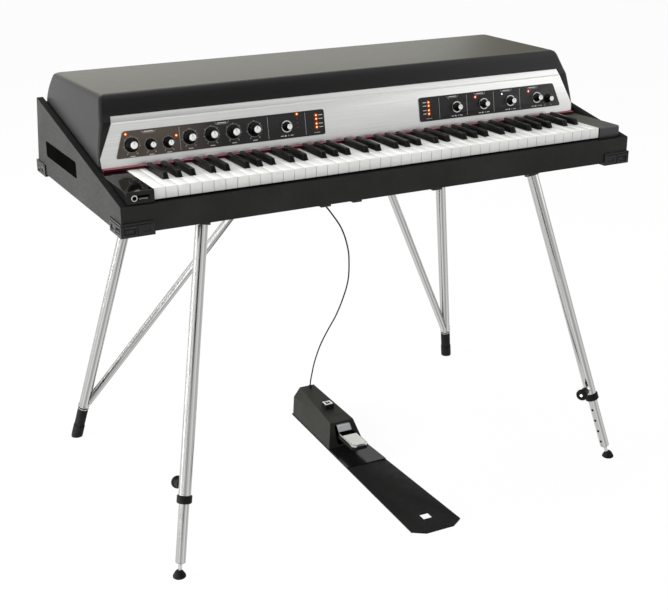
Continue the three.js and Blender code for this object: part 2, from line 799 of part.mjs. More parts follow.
// Knobs turn on shafts through the plate and the panel
function knob(radius) {
  return geometryOf(solid(turned([
    [0, -shaftReach], [shaftRadius, -shaftReach], [shaftRadius, 0], [radius, 0],
    [radius * knobCapShare * knobFlare, knobSkirtHeight],
    [radius * knobCapShare, knobHeight], [0, knobHeight],
  ], knobSegments)));
}
knobSpots.forEach(({ x, s, radius }, i) => {
  const mesh = add(`knob_${String(i + 1).padStart(2, '0')}`, knob(radius), knobBlack);
  mesh.position.copy(facePoint(x, s, plateThickness + gap * 2));
  mesh.quaternion.setFromRotationMatrix(faceTurn);
});

// Preamplifier board behind the panel, on the pot shafts' side, held by bosses to the panel's flange
const preampSpan = (s0, s1, lift0, lift1) => solid(onFace(
  extrude(outline([
    [-preampHalfWidth, s0], [preampHalfWidth, s0], [preampHalfWidth, s1], [-preampHalfWidth, s1],
  ]), lift1 - lift0), 0, 0, lift0));
add('preamp_board', join(
  preampSpan(preampLow, preampHigh, -preampStandoff - panelThickness - preampThickness,
    -preampStandoff - panelThickness),
  ...[-1, 1].flatMap((side) => [preampLow + preampStandoff / 2, preampHigh - preampStandoff / 2].map(
    (s) => solid(onFace(
      rod(shaftRadius, -preampStandoff - panelThickness * 1.5, -panelThickness - gap, holeSegments),
      side * (leftPlateInner - preampStandoff), s, 0)))),
), boardGreen);

// Felt strip under the panel's bottom edge
add('key_felt', slab(-feltHalfWidth, feltHalfWidth, feltFront, feltFront + feltDepth,
  panelBottomZ - gap - feltHeight, panelBottomZ - gap), redFelt);

// Cheek blocks beside the keys, with a seat for the panel behind the felt
function cheek(side) {
  const front = side > 0 ? rightCheekFront : leftCheekFront;
  const behindRail = railThickness + gap;
  const lip = front < behindRail ? [[front, railHeight + gap], [behindRail, railHeight + gap]] : [];
  const feltRear = feltFront + feltDepth + gap;
  const body = prismX(outline([
    ...lip, [Math.max(front, behindRail), boardThickness + gap],
    [cheekRear, boardThickness + gap], [cheekRear, panelBottomZ - gap], [feltRear, panelBottomZ - gap],
    [feltRear, cheekTop], [front + cheekBevel, cheekTop], [front, cheekTop - cheekBevel],
  ]), cheekInnerEdge, sideInner - gap);
  const skirtRelief = slab(panelBottomHalfWidth, sideInner, feltRear, cheekRear + overrun,
    cheekTop, panelBottomZ);
  const relieved = cut(body, skirtRelief);
  return side > 0 ? relieved : relieved.mirror([1, 0, 0]);
}
const jackAxis = vec(0, -1, 0);
const jackZ = (cheekTop + railHeight) / 2;
const jackX = -(cheekInnerEdge + (sideInner - cheekInnerEdge) * jackAcross);
const jackHole = solid(aim(rod(jackHoleRadius, -jackHoleRadius * 4, overrun, legSegments),
  vec(jackX, leftCheekFront, jackZ), jackAxis));
const jackRing = solid(aim(pipe(jackRingRadius, jackHoleRadius, -overrun, gap * 3, legSegments),
  vec(jackX, leftCheekFront, jackZ), jackAxis));
add('left_cheek_block', join(cut(cheek(-1), jackHole), jackRing), blackPlastic);
add('right_cheek_block', cheek(1), greyPlastic);

// Keyboard: the octave pattern counts from C, and the first key is an E
const noteNames = ['c', 'd', 'e', 'f', 'g', 'a', 'b'];
const blackShiftShares = { 0: -0.106, 1: 0.106, 3: -0.149, 4: 0, 5: 0.149 };
const keyboardLeft = -whiteCount * whitePitch / 2;
const letterOf = (white) => (white + firstLetter) % noteNames.length;
const hasSharp = (white) => white >= 0 && white + 1 < whiteCount && letterOf(white) in blackShiftShares;
const sharpX = (white) => keyboardLeft + (white + 1 + blackShiftShares[letterOf(white)]) * whitePitch;
const keyBottom = keyTop - keyBodyHeight;

// The tail of a white key runs on as its lever, as wide as the black keys beside it leave it
function whiteSpan(white) {
  const left = keyboardLeft + white * whitePitch + keyGap / 2;
  const right = left + whitePitch - keyGap;
  const reach = blackWidth / 2 + blackClearance;
  return {
    left,
    right,
    tailLeft: hasSharp(white - 1) ? sharpX(white - 1) + reach : left,
    tailRight: hasSharp(white) ? sharpX(white) - reach : right,
  };
}

function whiteKey(white) {
  const { left, right, tailLeft, tailRight } = whiteSpan(white);
  const headEnd = keyFront + keyHeadLength;
  const plan = [[left, keyFront], [right, keyFront], [right, headEnd], [tailRight, headEnd],
    [tailRight, keyRear], [tailLeft, keyRear], [tailLeft, headEnd], [left, headEnd]];
  const turning = plan.filter(([u, v], i) => {
    const [pu, pv] = plan[(i + plan.length - 1) % plan.length];
    const [nu, nv] = plan[(i + 1) % plan.length];
    return Math.abs((u - pu) * (nv - v) - (v - pv) * (nu - u)) > gap / 100;
  });
  return prismZ(outline(turning), keyBottom, keyTop);
}

// The side outline of a black key starts at the foot of its cap's rear end; the cap narrows upwards
function blackKey(white) {
  const side = [[blackEnd, keyTop - overrun], [keyRear, keyTop - overrun], [keyRear, keyBottom],
    [blackFront, keyBottom], [blackFront, keyTop - overrun],
    [blackFront + blackFrontSlope, keyTop + blackRise], [blackEnd, keyTop + blackRise]];
  const ring = (turn) => side.map(([y, z]) => {
    const half = z > keyTop ? blackTopWidth / 2 : blackWidth / 2;
    return vec(sharpX(white) + turn * half, y, z);
  });
  return loft([ring(-1), ring(1)]);
}

// Key frame with its rails; the keys outside the moving octave are fused to its balance ridge
const ridgeBase = keyBottom - gap - ridgeRise;
const isMoving = (white) => white >= firstMovingWhite && white < firstMovingWhite + movingWhites;
const movingLeft = keyboardLeft + firstMovingWhite * whitePitch;
const movingRight = movingLeft + movingWhites * whitePitch;

function keyFrame() {
  const floor = boardThickness + gap;
  const half = frameHalfWidth;
  const body = [
    slab(-half, half, frontRailFront, frontRailFront + frontRailWidth, floor, frontRailTop),
    slab(-half, half, pivotY - balanceRailWidth / 2, pivotY + balanceRailWidth / 2, floor, ridgeBase),
    slab(-half, half, keyRear - backRailWidth, keyRear, floor, keyBottom - gap),
    slab(movingLeft, movingRight, pivotY - ridgeWidth / 2, pivotY + ridgeWidth / 2,
      ridgeBase - overrun, keyBottom - gap),
  ];
  for (const [x0, x1] of [[-half, movingLeft], [movingRight, half]]) {
    body.push(slab(x0, x1, pivotY - ridgeWidth / 2, pivotY + ridgeWidth / 2,
      ridgeBase - overrun, keyBottom + keySeat));
  }
  for (const x of [-half, half - frameEndWidth]) {
    body.push(slab(x, x + frameEndWidth, frontRailFront, keyRear, floor, floor + frameEndHeight));
  }
  for (let white = 0; white < whiteCount; white += 1) {
    if (!isMoving(white)) body.push(whiteKey(white));
    if (hasSharp(white) && !isMoving(white)) body.push(blackKey(white));
  }
  return join(...body);
}
add('key_frame', keyFrame(), whitePlastic);

for (let white = firstMovingWhite; white < firstMovingWhite + movingWhites; white += 1) {
  const letter = noteNames[letterOf(white)];
  add(`key_${letter}`, whiteKey(white), whitePlastic);
  if (hasSharp(white)) add(`key_${letter}_sharp`, blackKey(white), blackPlastic);
}

// Action: posts on the board carry the hammer rail, and the hammers lean forward from it
const notes = [];
for (let white = 0; white < whiteCount; white += 1) {
  const { tailLeft, tailRight } = whiteSpan(white);
  notes.push((tailLeft + tailRight) / 2);
  if (hasSharp(white)) notes.push(sharpX(white));
}
const noteShare = (x) => (x - notes[0]) / (notes[notes.length - 1] - notes[0]);
const floorZ = boardThickness + gap;
const tineBottom = harpBottom + harpRailHeight + tineRise;
const padTop = tineBottom - damperRestGap;
const damperPivotZ = padTop - damperPadHeight - damperRailHeight / 2;
const damperPin = (radius, reach) => solid(aim(rod(radius, -reach, reach, legSegments),
  vec(0, damperPivotY, damperPivotZ), vec(1, 0, 0)));
const damperHalf = actionHalfWidth - actionPostWidth - overrun;

function actionFrame() {
  const railTop = hammerRailBottom + hammerRailHeight;
  const rear = damperPivotY + actionPostSpread;
  const body = [slab(-actionHalfWidth, actionHalfWidth, hammerRailY, hammerRailY + hammerRailDepth,
    hammerRailBottom, railTop)];
  for (const side of [-1, 1]) {
    const ends = [side * actionHalfWidth, side * (actionHalfWidth - actionPostWidth)];
    const [x0, x1] = ends.sort((a, b) => a - b);
    body.push(prismX(outline([
      [hammerRailY - actionPostSpread, floorZ], [rear, floorZ],
      [rear, actionPostTop], [rear - actionPostSpread * 2, actionPostTop],
      [hammerRailY + hammerRailDepth, railTop - overrun],
      [hammerRailY - actionPostSpread / 2, railTop - overrun],
    ]), x0, x1));
  }
  for (const x of notes) {
    const armTop = railTop - hammerArmHeight / 2;
    body.push(prismX(outline([
      [hammerRailY + overrun, armTop - hammerArmHeight], [hammerRailY + overrun, armTop],
      [hammerHeadY + hammerHeadDepth, armTop - hammerArmHeight / 3], [hammerHeadY, hammerHeadTop],
      [hammerHeadY - overrun, armTop - hammerArmHeight * 1.5],
    ]), x - hammerWidth / 2, x + hammerWidth / 2));
  }
  return cut(join(...body), damperPin(damperPinRadius + gap, actionHalfWidth + overrun));
}
add('action_frame', actionFrame(), beech);

// Harp: a frame on four posts. Each note has a tine block on the front rail, with its tone bar above
// the tine, and the tine points at the pickup rail that crosses behind.
function harp() {
  const railTop = harpBottom + harpRailHeight;
  const barBottom = railTop + toneBarRise;
  const front = harpFrontY;
  const half = actionHalfWidth + overrun * 2;
  const pickupY = (x) => front + harpRailDepth + lerp(bassTineLength, trebleTineLength, noteShare(x));
  const pickupBottom = harpBottom + pickupRailRise;
  const pickupTop = pickupBottom + pickupRailHeight;
  const [bassY, trebleY] = [pickupY(-half), pickupY(half)];
  const body = [
    slab(-half, half, front, front + harpRailDepth, harpBottom, railTop),
    prismZ(outline([[-half, bassY], [half, trebleY], [half, trebleY + pickupRailDepth],
      [-half, bassY + pickupRailDepth]]), pickupBottom, pickupTop),
  ];
  for (const [side, rear] of [[-1, bassY + pickupRailDepth], [1, trebleY + pickupRailDepth]]) {
    const [x0, x1] = [side * (half - overrun), side * (half + harpEndWidth)].sort((a, b) => a - b);
    body.push(slab(x0, x1, front, rear, harpBottom, pickupTop));
    body.push(slab(x0, x1, front, front + harpPostDepth, floorZ, harpBottom + overrun));
    body.push(slab(x0, x1, rear - harpPostDepth, rear, floorZ, harpBottom + overrun));
  }
  for (const x of notes) {
    const barLength = lerp(bassBarLength, trebleBarLength, noteShare(x));
    const blockFront = front + toneBarOverhang;
    body.push(prismX(outline([
      [blockFront, railTop - gap], [blockFront + tineBlockDepth, railTop - gap],
      [blockFront + tineBlockDepth, barBottom], [front + barLength, barBottom],
      [front + barLength, barBottom + toneBarHeight], [blockFront, barBottom + toneBarHeight],
    ]), x - toneBarWidth / 2, x + toneBarWidth / 2));
    body.push(slab(x - tineWidth / 2, x + tineWidth / 2,
      blockFront + tineBlockDepth - gap, pickupY(x) - tineEndGap, tineBottom, tineBottom + tineWidth));
  }
  return join(...body);
}
add('harp', harp(), springSteel);

// Damper rail behind the hammers: its end pins turn in the posts, and its arms hold the pads to the tines
function damperBar() {
  const armBottom = damperPivotZ + damperRailHeight / 2 - damperArmHeight;
  const rail = slab(-damperHalf, damperHalf,
    damperPivotY - damperRailDepth / 2, damperPivotY + damperRailDepth / 2,
    damperPivotZ - damperRailHeight / 2, damperPivotZ + damperRailHeight / 2);
  const arms = notes.map((x) => prismX(outline([
    [damperPivotY, armBottom], [damperPivotY, armBottom + damperArmHeight - gap],
    [damperHeadY, padTop], [damperHeadY, padTop - damperPadHeight],
  ]), x - damperArmWidth / 2, x + damperArmWidth / 2));
  const pins = damperPin(damperPinRadius, damperHalf + damperPinReach);
  return join(rail, pins, ...arms);
}
add('damper_bar', damperBar(), blackVinyl);

// Legs
const tubeBore = legRadius - tubeWall;
const squareTo = (axis, turn) => {
  const level = vec(Math.cos(degrees(turn)), Math.sin(degrees(turn)), 0);
  return level.addScaledVector(axis, -level.dot(axis)).normalize();
};
const screwOut = (side) => squareTo(legAxis(side, false).up, side > 0 ? rightScrewTurn : leftScrewTurn);
const holeOut = (side) => squareTo(legAxis(side, false).up, side > 0 ? rightHoleTurn : leftHoleTurn);

// The upper tube of a front leg, with the collar and the boss of its clamp screw
function frontLeg(side) {
  const axis = legAxis(side, false);
  const top = caseHeight / axis.up.z - legSocketLength + socketBore - gap;
  const low = (collarHeight - collarLength / 2) / axis.up.z;
  const outer = solid(aim(rod(legRadius, low, top, legSegments), axis.foot, axis.up));
  const collar = solid(aim(rod(collarRadius, low, low + collarLength, legSegments), axis.foot, axis.up));
  const root = along(axis, collarHeight + screwRise);
  const boss = solid(aim(rod(screwBossRadius, 0, legRadius + screwBossLength, pinSegments),
    root, screwOut(side)));
  const bore = solid(aim(rod(tubeBore, low - overrun, top - tubeWall, legSegments), axis.foot, axis.up));
  const screwHole = solid(aim(rod(screwRadius + screwFit, 0, legRadius + screwBossLength + overrun,
    pinSegments), root, screwOut(side)));
  return cut(join(outer, collar, boss), bore, screwHole);
}

// The lower tube slides in the upper one and stands on a turned foot
function frontLegExtension(side) {
  const axis = legAxis(side, false);
  const tubeStart = (footHeight + footNeckLength) / axis.up.z;
  const high = (collarHeight + collarLength / 2) / axis.up.z + lowerLegOverlap;
  const r = lowerLegRadius;
  const tube = solid(aim(turned([
    [0, 0], [footNeckRadius, 0], [footNeckRadius, tubeStart], [r - tubeEndRound, tubeStart],
    [r, tubeStart + tubeEndRound], [r, high], [0, high],
  ], legSegments), axis.foot, axis.up));
  const floorCut = slab(axis.foot.x - footRadius * 2, axis.foot.x + footRadius * 2,
    axis.foot.y - footRadius * 2, axis.foot.y + footRadius * 2,
    -caseHeight - footRadius * 2, -caseHeight + overrun);
  const foot = solid(turned([[0, 0], [footRadius, 0], [footRadius, footHeight / 5],
    [footTopRadius, footHeight], [0, footHeight]], legSegments)
    .translate(axis.foot.x, axis.foot.y, -caseHeight));
  const holes = Array.from({ length: holeCount }, (_, i) => {
    const level = collarHeight - collarLength / 2 - firstHoleDrop - i * holePitch;
    return solid(aim(rod(holeRadius, 0, r + overrun, holeSegments), along(axis, level), holeOut(side)));
  });
  return join(cut(tube, floorCut, ...holes), foot);
}

function clampScrew(side) {
  const start = lowerLegRadius + gap;
  const bossEnd = legRadius + screwBossLength + gap;
  const headEnd = bossEnd + screwHubLength + screwHeadLength;
  return solid(aim(turned([
    [0, start], [screwRadius, start], [screwRadius, bossEnd], [screwHubRadius, bossEnd],
    [screwHubRadius, bossEnd + screwHubLength], [screwHeadRadius, bossEnd + screwHubLength],
    [screwHeadRadius, headEnd - screwHeadRound], [screwHeadRadius - screwHeadRound, headEnd], [0, headEnd],
  ], legSegments), along(legAxis(side, false), collarHeight + screwRise), screwOut(side)));
}

// A rear leg is one tube in a long black foot sleeve with a groove
function rearLeg(side) {
  const axis = legAxis(side, true);
  const top = caseHeight / axis.up.z - legSocketLength + socketBore - gap;
  const sleeve = sleeveTop / axis.up.z;
  const groove = sleeveGroove / axis.up.z;
  const body = solid(aim(turned([
    [0, -footRadius], [rearFootRadius - rearFootRound / 2, -footRadius], [rearFootRadius, rearFootRound],
    [rearFootRadius, groove - grooveWidth], [sleeveRadius - grooveDepth, groove - grooveWidth / 2],
    [sleeveRadius - grooveDepth, groove + grooveWidth / 2], [sleeveRadius, groove + grooveWidth],
    [sleeveRadius, sleeve], [legRadius, sleeve], [legRadius, top], [0, top],
  ], legSegments), axis.foot, axis.up));
  const bore = solid(aim(rod(tubeBore, sleeve + tubeWall, top + overrun, legSegments), axis.foot, axis.up));
  const floorCut = slab(axis.foot.x - legRadius * 3, axis.foot.x + legRadius * 3,
    axis.foot.y - legRadius * 3, axis.foot.y + legRadius * 3, -caseHeight - legRadius * 3, -caseHeight);
  return cut(body, bore, floorCut);
}

// A brace runs from the foot of a rear leg, coped to its tube, to its socket under the board
function brace(side) {
  const axis = braceAxis(side);
  const leg = legAxis(side, true);
  const reach = axis.top.distanceTo(axis.foot) - braceSocketLength + braceSocketBore - gap;
  const tube = solid(aim(rod(braceRadius, braceStart, reach, braceSegments), axis.foot, axis.up));
  const bore = solid(aim(rod(braceRadius - tubeWall, 0, reach - tubeWall, braceSegments),
    axis.foot, axis.up));
  const cope = solid(aim(rod(
    rearFootRadius + braceCopeGap, -braceJoinHeight, caseHeight / 2, legSegments * 2),
  along(leg, braceJoinHeight), leg.up));
  const below = slab(axis.foot.x - legRadius * 4, axis.foot.x + legRadius * 4,
    axis.foot.y - legRadius * 4, axis.foot.y + legRadius * 4, -caseHeight, braceFootHeight - caseHeight);
  return cut(tube, bore, cope, below);
}

for (const [side, word] of [[-1, 'left'], [1, 'right']]) {
  add(`front_${word}_leg`, frontLeg(side), chrome);
  add(`front_${word}_leg_extension`, frontLegExtension(side), chrome);
  add(`${word}_clamp_screw`, clampScrew(side), blackPlastic);
  add(`rear_${word}_leg`, rearLeg(side), chrome);
  add(`${word}_brace`, brace(side), chrome);
}

// Pedal: its group stands on the floor, x = 0 on its centre line and y = 0 at its front edge
const pedal = new THREE.Group();
pedal.position.set(pedalFrontX, pedalFrontY, 0);
pedal.rotation.z = degrees(pedalTurn);
piano.add(pedal);

const baseHalf = (y) => lerp(pedalBaseFrontHalf, pedalBaseRearHalf, y / pedalBaseLength);
add('pedal_base', cut(join(
  prismZ(outline([
    [-pedalTipHalf, 0], [pedalTipHalf, 0], [baseHalf(pedalTipCut), pedalTipCut],
    [baseHalf(pedalBaseLength), pedalBaseLength], [-baseHalf(pedalBaseLength), pedalBaseLength],
    [-baseHalf(pedalTipCut), pedalTipCut],
  ]), 0, pedalBaseThickness),
  prismZ(outline([
    [-baseHalf(toePlateFront), toePlateFront], [baseHalf(toePlateFront), toePlateFront],
    [baseHalf(housingFront), housingFront - gap], [-baseHalf(housingFront), housingFront - gap],
  ]), pedalBaseThickness / 2, pedalBaseThickness + toePlateHeight),
), slab(pedalHoleX - pedalHoleSize / 2, pedalHoleX + pedalHoleSize / 2,
  pedalHoleY - pedalHoleSize / 2, pedalHoleY + pedalHoleSize / 2,
  -overrun, pedalBaseThickness + overrun)), pressedSteel, pedal);

// Pedal housing: a folded sheet that narrows to the rear, with a leaning front, open below and at its mouth
const housingFloor = pedalBaseThickness + gap;
const pivotLocalY = housingFront + pedalPivotBack;
const housingTopAt = (y) => lerp(housingFrontHeight, housingRearHeight,
  (y - housingFront - housingLean) / (housingLength - housingLean));
function housingRing(back, inset) {
  const y = lerp(housingFront + inset, housingFront + housingLength - inset, back);
  const low = inset > 0 ? housingFloor - overrun : housingFloor;
  const high = lerp(housingFrontHeight, housingRearHeight, back) - inset;
  const shoulder = housingShoulderHeight - inset / 2;
  const shoulderHalf = lerp(housingShoulderFrontHalf, housingShoulderRearHalf, back) - inset;
  const topHalf = lerp(housingTopFrontHalf, housingTopRearHalf, back) - inset / 2;
  const half = baseHalf(y) - housingEdgeInset - inset;
  const at = (x, z) => vec(x, y + (1 - back) * housingLean * z / housingFrontHeight, z);
  return [at(-half, low), at(half, low), at(shoulderHalf, shoulder), at(topHalf, high),
    at(-topHalf, high), at(-shoulderHalf, shoulder)];
}
function pedalHousing() {
  const backs = Array.from({ length: housingSteps + 1 }, (_, i) => i / housingSteps);
  const shell = loft(backs.map((back) => housingRing(back, 0)));
  const hollow = loft(backs.map((back) => housingRing(back, housingWall)));
  const mouth = prismY(roundedOutline([[-mouthHalfWidth, mouthLow], [mouthHalfWidth, mouthLow],
    [mouthHalfWidth, mouthHigh], [-mouthHalfWidth, mouthHigh]], mouthCorner),
  housingFront - overrun, housingFront + housingLean + housingWall * 2);
  const buttonY = housingFront + buttonBack;
  const button = slab(-buttonSize / 2, buttonSize / 2, buttonY - buttonSize / 2, buttonY + buttonSize / 2,
    housingTopAt(buttonY) - housingWall / 2, housingTopAt(buttonY) + buttonHeight);
  const glandY = housingFront + glandBack;
  const gland = solid(rod(glandRadius, housingTopAt(glandY) - housingWall / 2,
    housingTopAt(glandY) + glandHeight, legSegments).translate(glandX, glandY, 0));
  const pivotShare = pedalPivotBack / housingLength;
  const shoulderHalf = lerp(housingShoulderFrontHalf, housingShoulderRearHalf, pivotShare);
  const wallHalf = lerp(baseHalf(pivotLocalY) - housingEdgeInset, shoulderHalf,
    (pedalPivotHeight - housingFloor) / (housingShoulderHeight - housingFloor));
  const half = wallHalf - housingWall / 2;
  const pin = solid(aim(rod(pivotPinRadius, -half, half, pinSegments),
    vec(0, pivotLocalY, pedalPivotHeight), vec(1, 0, 0)));
  return join(cut(shell, hollow, mouth), button, gland, pin);
}
add('pedal_housing', pedalHousing(), pressedSteel, pedal);

// Pedal lever: a bent strip on the pivot pin, with the foot tongue at its front
function pedalLever() {
  const t = leverThickness;
  const neckTop = housingFront + neckTopSetback;
  const neckFoot = housingFront + neckFootSetback;
  const tongueTop = tongueUnderside + t;
  const tip = neckFoot - tongueLength;
  const strip = prismX(outline([
    [pivotLocalY, pedalPivotHeight - t / 2], [pivotLocalY, pedalPivotHeight + t / 2],
    [neckTop + t, neckTopHeight], [neckTop, neckTopHeight - t / 8], [neckTop - t / 3, neckTopHeight - t / 2],
    [neckFoot, tongueTop + t / 2], [neckFoot - t / 2, tongueTop], [neckFoot - t * 2, tongueTop],
    [neckFoot - t * 2, tongueUnderside], [neckFoot + t / 2, tongueUnderside],
    [neckTop + t, neckTopHeight - t],
  ]), -leverHalfWidth, leverHalfWidth);
  const tongue = prismZ(outline([
    [-tongueHalfWidth, neckFoot - t], [-tongueHalfWidth, tip + tongueChamfer],
    [-tongueHalfWidth + tongueChamfer, tip], [tongueHalfWidth - tongueChamfer, tip],
    [tongueHalfWidth, tip + tongueChamfer], [tongueHalfWidth, neckFoot - t],
  ]), tongueUnderside, tongueTop);
  const padHalf = tongueHalfWidth - tonguePadInset;
  const padTip = tip + tonguePadInset;
  const pad = prismZ(outline([
    [-padHalf, padTip + tonguePadLength], [-padHalf, padTip + tongueChamfer],
    [-padHalf + tongueChamfer, padTip], [padHalf - tongueChamfer, padTip],
    [padHalf, padTip + tongueChamfer], [padHalf, padTip + tonguePadLength],
  ]), tongueUnderside + t / 2, tongueTop + tonguePad);
  const hub = solid(aim(rod(pivotHubRadius, -leverHalfWidth, leverHalfWidth, pinSegments),
    vec(0, pivotLocalY, pedalPivotHeight), vec(1, 0, 0)));
  const bore = solid(aim(rod(pivotPinRadius + pivotFit, -leverHalfWidth - overrun, leverHalfWidth + overrun,
    pinSegments), vec(0, pivotLocalY, pedalPivotHeight), vec(1, 0, 0)));
  return cut(join(strip, tongue, pad, hub), bore);
}
add('pedal_lever', pedalLever(), chrome, pedal);

// Cord: a round section swept along the hand-laid route
const route = new THREE.CatmullRomCurve3(cordPoints.map(([x, y, z]) => vec(x, y, z)), false, 'centripetal');
const section = new THREE.Shape();
section.absarc(0, 0, cordRadius, 0, Math.PI * 2);
add('sustain_cable', new THREE.ExtrudeGeometry(section, {
  steps: cordSteps, curveSegments: cordSides / 2, extrudePath: route,
}), blackRubber, piano);
console.log(`cord length ${route.getLength().toFixed(1)} mm`);

export default piano;
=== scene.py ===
# Looks of the stage electric piano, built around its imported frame.
# Metres, +Z up, X along the keyboard, the player stands on the -Y side.
from math import atan2, copysign, cos, degrees, pi, radians, sin

import bmesh
import bpy
from bmesh.types import BMEdge, BMVert
from mathutils import Matrix, Vector


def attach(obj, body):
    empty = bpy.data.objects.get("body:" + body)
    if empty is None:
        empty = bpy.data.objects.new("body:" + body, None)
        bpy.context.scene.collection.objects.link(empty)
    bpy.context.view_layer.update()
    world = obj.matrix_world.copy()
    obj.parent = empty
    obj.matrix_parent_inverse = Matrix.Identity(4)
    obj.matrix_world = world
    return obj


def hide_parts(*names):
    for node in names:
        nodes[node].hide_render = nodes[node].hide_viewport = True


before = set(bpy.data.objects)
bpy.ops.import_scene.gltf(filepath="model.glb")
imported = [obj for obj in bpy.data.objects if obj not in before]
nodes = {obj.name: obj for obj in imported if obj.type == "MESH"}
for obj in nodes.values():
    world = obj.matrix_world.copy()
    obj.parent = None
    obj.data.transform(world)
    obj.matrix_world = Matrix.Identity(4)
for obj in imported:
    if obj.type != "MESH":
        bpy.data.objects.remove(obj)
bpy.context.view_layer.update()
scene = bpy.context.scene
mm = 0.001
sides = {"left": -1, "right": 1}


def addObject(name, data):
    thing = bpy.data.objects.new(name, data)
    scene.collection.objects.link(thing)
    return thing


# camera at the photograph's angle
view = dict(place=(-1.20065, -2.27362, 1.33056), yaw=-0.47609, pitch=-0.35674, roll=-0.00997,
            lens=65.99, sensor=36, shiftX=0.00256, shiftY=-0.00149, farEnd=100)


def makeCamera():
    yaw, pitch, roll = view["yaw"], view["pitch"], view["roll"]
    ahead = Vector((sin(-yaw) * cos(pitch), cos(yaw) * cos(pitch), sin(pitch)))
    right = ahead.cross(Vector((0, 0, 1))).normalized()
    up = right.cross(ahead)
    right, up = (cos(roll) * right + sin(roll) * up, cos(roll) * up - sin(roll) * right)
    optics = bpy.data.cameras.new("camera")
    optics.lens, optics.sensor_width, optics.clip_end = view["lens"], view["sensor"], view["farEnd"]
    optics.shift_x, optics.shift_y = view["shiftX"], view["shiftY"]
    camera = addObject("camera", optics)
    camera.matrix_world = Matrix.Translation(view["place"]) @ Matrix((right, up, -ahead)).transposed().to_4x4()
    scene.camera = camera


makeCamera()
scene.view_settings.view_transform = "Standard"
print("camera done")


# materials; bump depths are in mm
def color(hexCode):
    parts = [int(hexCode[i:i + 2], 16) / 255 for i in (0, 2, 4)]
    return tuple(c / 12.92 if c < 0.04045 else ((c + 0.055) / 1.055) ** 2.4 for c in parts) + (1,)


def addNode(tree, kind, values=(), **settings):
    made = tree.nodes.new("ShaderNode" + kind)
    for key, value in settings.items():
        setattr(made, key, value)
    for key, value in dict(values).items():
        made.inputs[key].default_value = value
    return made


# a material with short ways to add nodes
class Finish:
    def __init__(self, name, base, roughness, metallic=0, gloss=0.5):
        self.mat = bpy.data.materials.new(name)
        self.mat.use_nodes = True
        self.tree = self.mat.node_tree
        self.shader = self.tree.nodes["Principled BSDF"]
        self.normal = None
        self.put("Base Color", color(base))
        self.put("Roughness", roughness)
        self.put("Metallic", metallic)
        self.put("Specular IOR Level", gloss)

    def put(self, key, value):
        self.shader.inputs[key].default_value = value

    def glow(self, base, strength):
        self.put("Emission Color", color(base))
        self.put("Emission Strength", strength)

    def node(self, kind, values=(), **settings):
        return addNode(self.tree, kind, values, **settings)

    def link(self, source, target):
        self.tree.links.new(source, target)

    def attribute(self, name, output):
        return self.node("Attribute", attribute_name=name).outputs[output]

    def coords(self, stretch=(1, 1, 1)):
        mapping = self.node("Mapping", {"Scale": stretch})
        self.link(self.node("TexCoord").outputs["Object"], mapping.inputs["Vector"])
        return mapping.outputs["Vector"]

    def noise(self, scale, detail=3, rough=0.55, stretch=(1, 1, 1), place=None):
        made = self.node("TexNoise", {"Scale": scale, "Detail": detail, "Roughness": rough})
        self.link(place or self.coords(stretch), made.inputs["Vector"])
        return made.outputs["Fac"]

    def cells(self, scale):
        made = self.node("TexVoronoi", {"Scale": scale}, feature="SMOOTH_F1")
        self.link(self.coords(), made.inputs["Vector"])
        return made.outputs["Distance"]

    def part(self, vector, axis):
        made = self.node("SeparateXYZ")
        self.link(vector, made.inputs[0])
        return made.outputs[axis]

    def span(self, value, low, high, start=0.3, end=0.7):
        made = self.node("MapRange", {"From Min": start, "From Max": end, "To Min": low, "To Max": high})
        self.link(value, made.inputs["Value"])
        return made.outputs["Result"]

    # from the first shade to the second as the value goes from start to end
    def mix(self, value, first, second, start=0.3, end=0.7, most=1, target="Base Color"):
        made = self.node("Mix", data_type="RGBA")
        for socket, choice in ((made.inputs[6], first), (made.inputs[7], second)):
            if isinstance(choice, str):
                socket.default_value = color(choice)
            else:
                self.link(choice, socket)
        self.link(self.span(value, 0, most, start, end), made.inputs[0])
        if target:
            self.link(made.outputs[2], self.shader.inputs[target])
        return made.outputs[2]

    def rough(self, value, low, high, start=0.3, end=0.7):
        self.link(self.span(value, low, high, start, end), self.shader.inputs["Roughness"])

    def bump(self, height, depth, strength):
        made = self.node("Bump", {"Distance": depth * mm, "Strength": strength})
        self.link(height, made.inputs["Height"])
        if self.normal:
            self.link(self.normal, made.inputs["Normal"])
        self.normal = made.outputs["Normal"]
        self.link(self.normal, self.shader.inputs["Normal"])


def pebbledVinyl(name, dark, light, gloss):
    made = Finish(name, dark, 0.6, gloss=gloss)
    made.bump(made.cells(1100), 0.16, 0.6)
    made.bump(made.noise(420, 2), 0.1, 0.3)
    made.mix(made.noise(11, 4), dark, light)
    made.rough(made.noise(160), 0.5, 0.64)
    return made.mat


# a lighter top shade goes on the faces that look up: a painted reflection of the bright space above them
def mouldedPlastic(name, dark, light, low, high, grain=1400, depth=0.06, gloss=0.5, shade=9, top=None, bend=1.5):
    made = Finish(name, dark, (low + high) / 2, gloss=gloss)
    made.put("IOR", bend)
    shaded = made.mix(made.noise(shade), dark, light)
    if top:
        made.mix(made.part(made.node("NewGeometry").outputs["Normal"], "Z"), shaded, top, 0.86, 0.99)
    made.rough(made.noise(55, 4), low, high)
    made.bump(made.noise(grain, 2), depth, 0.5)
    return made.mat


def brushedSheet(name, dark, light, low, high):
    made = Finish(name, light, (low + high) / 2, 1)
    lines = made.noise(1, 3, 0.6, (5, 2600, 2600))
    made.mix(lines, dark, light)
    made.rough(made.noise(1, 2, 0.5, (6, 1800, 1800)), low, high)
    made.bump(lines, 0.02, 0.3)
    return made.mat


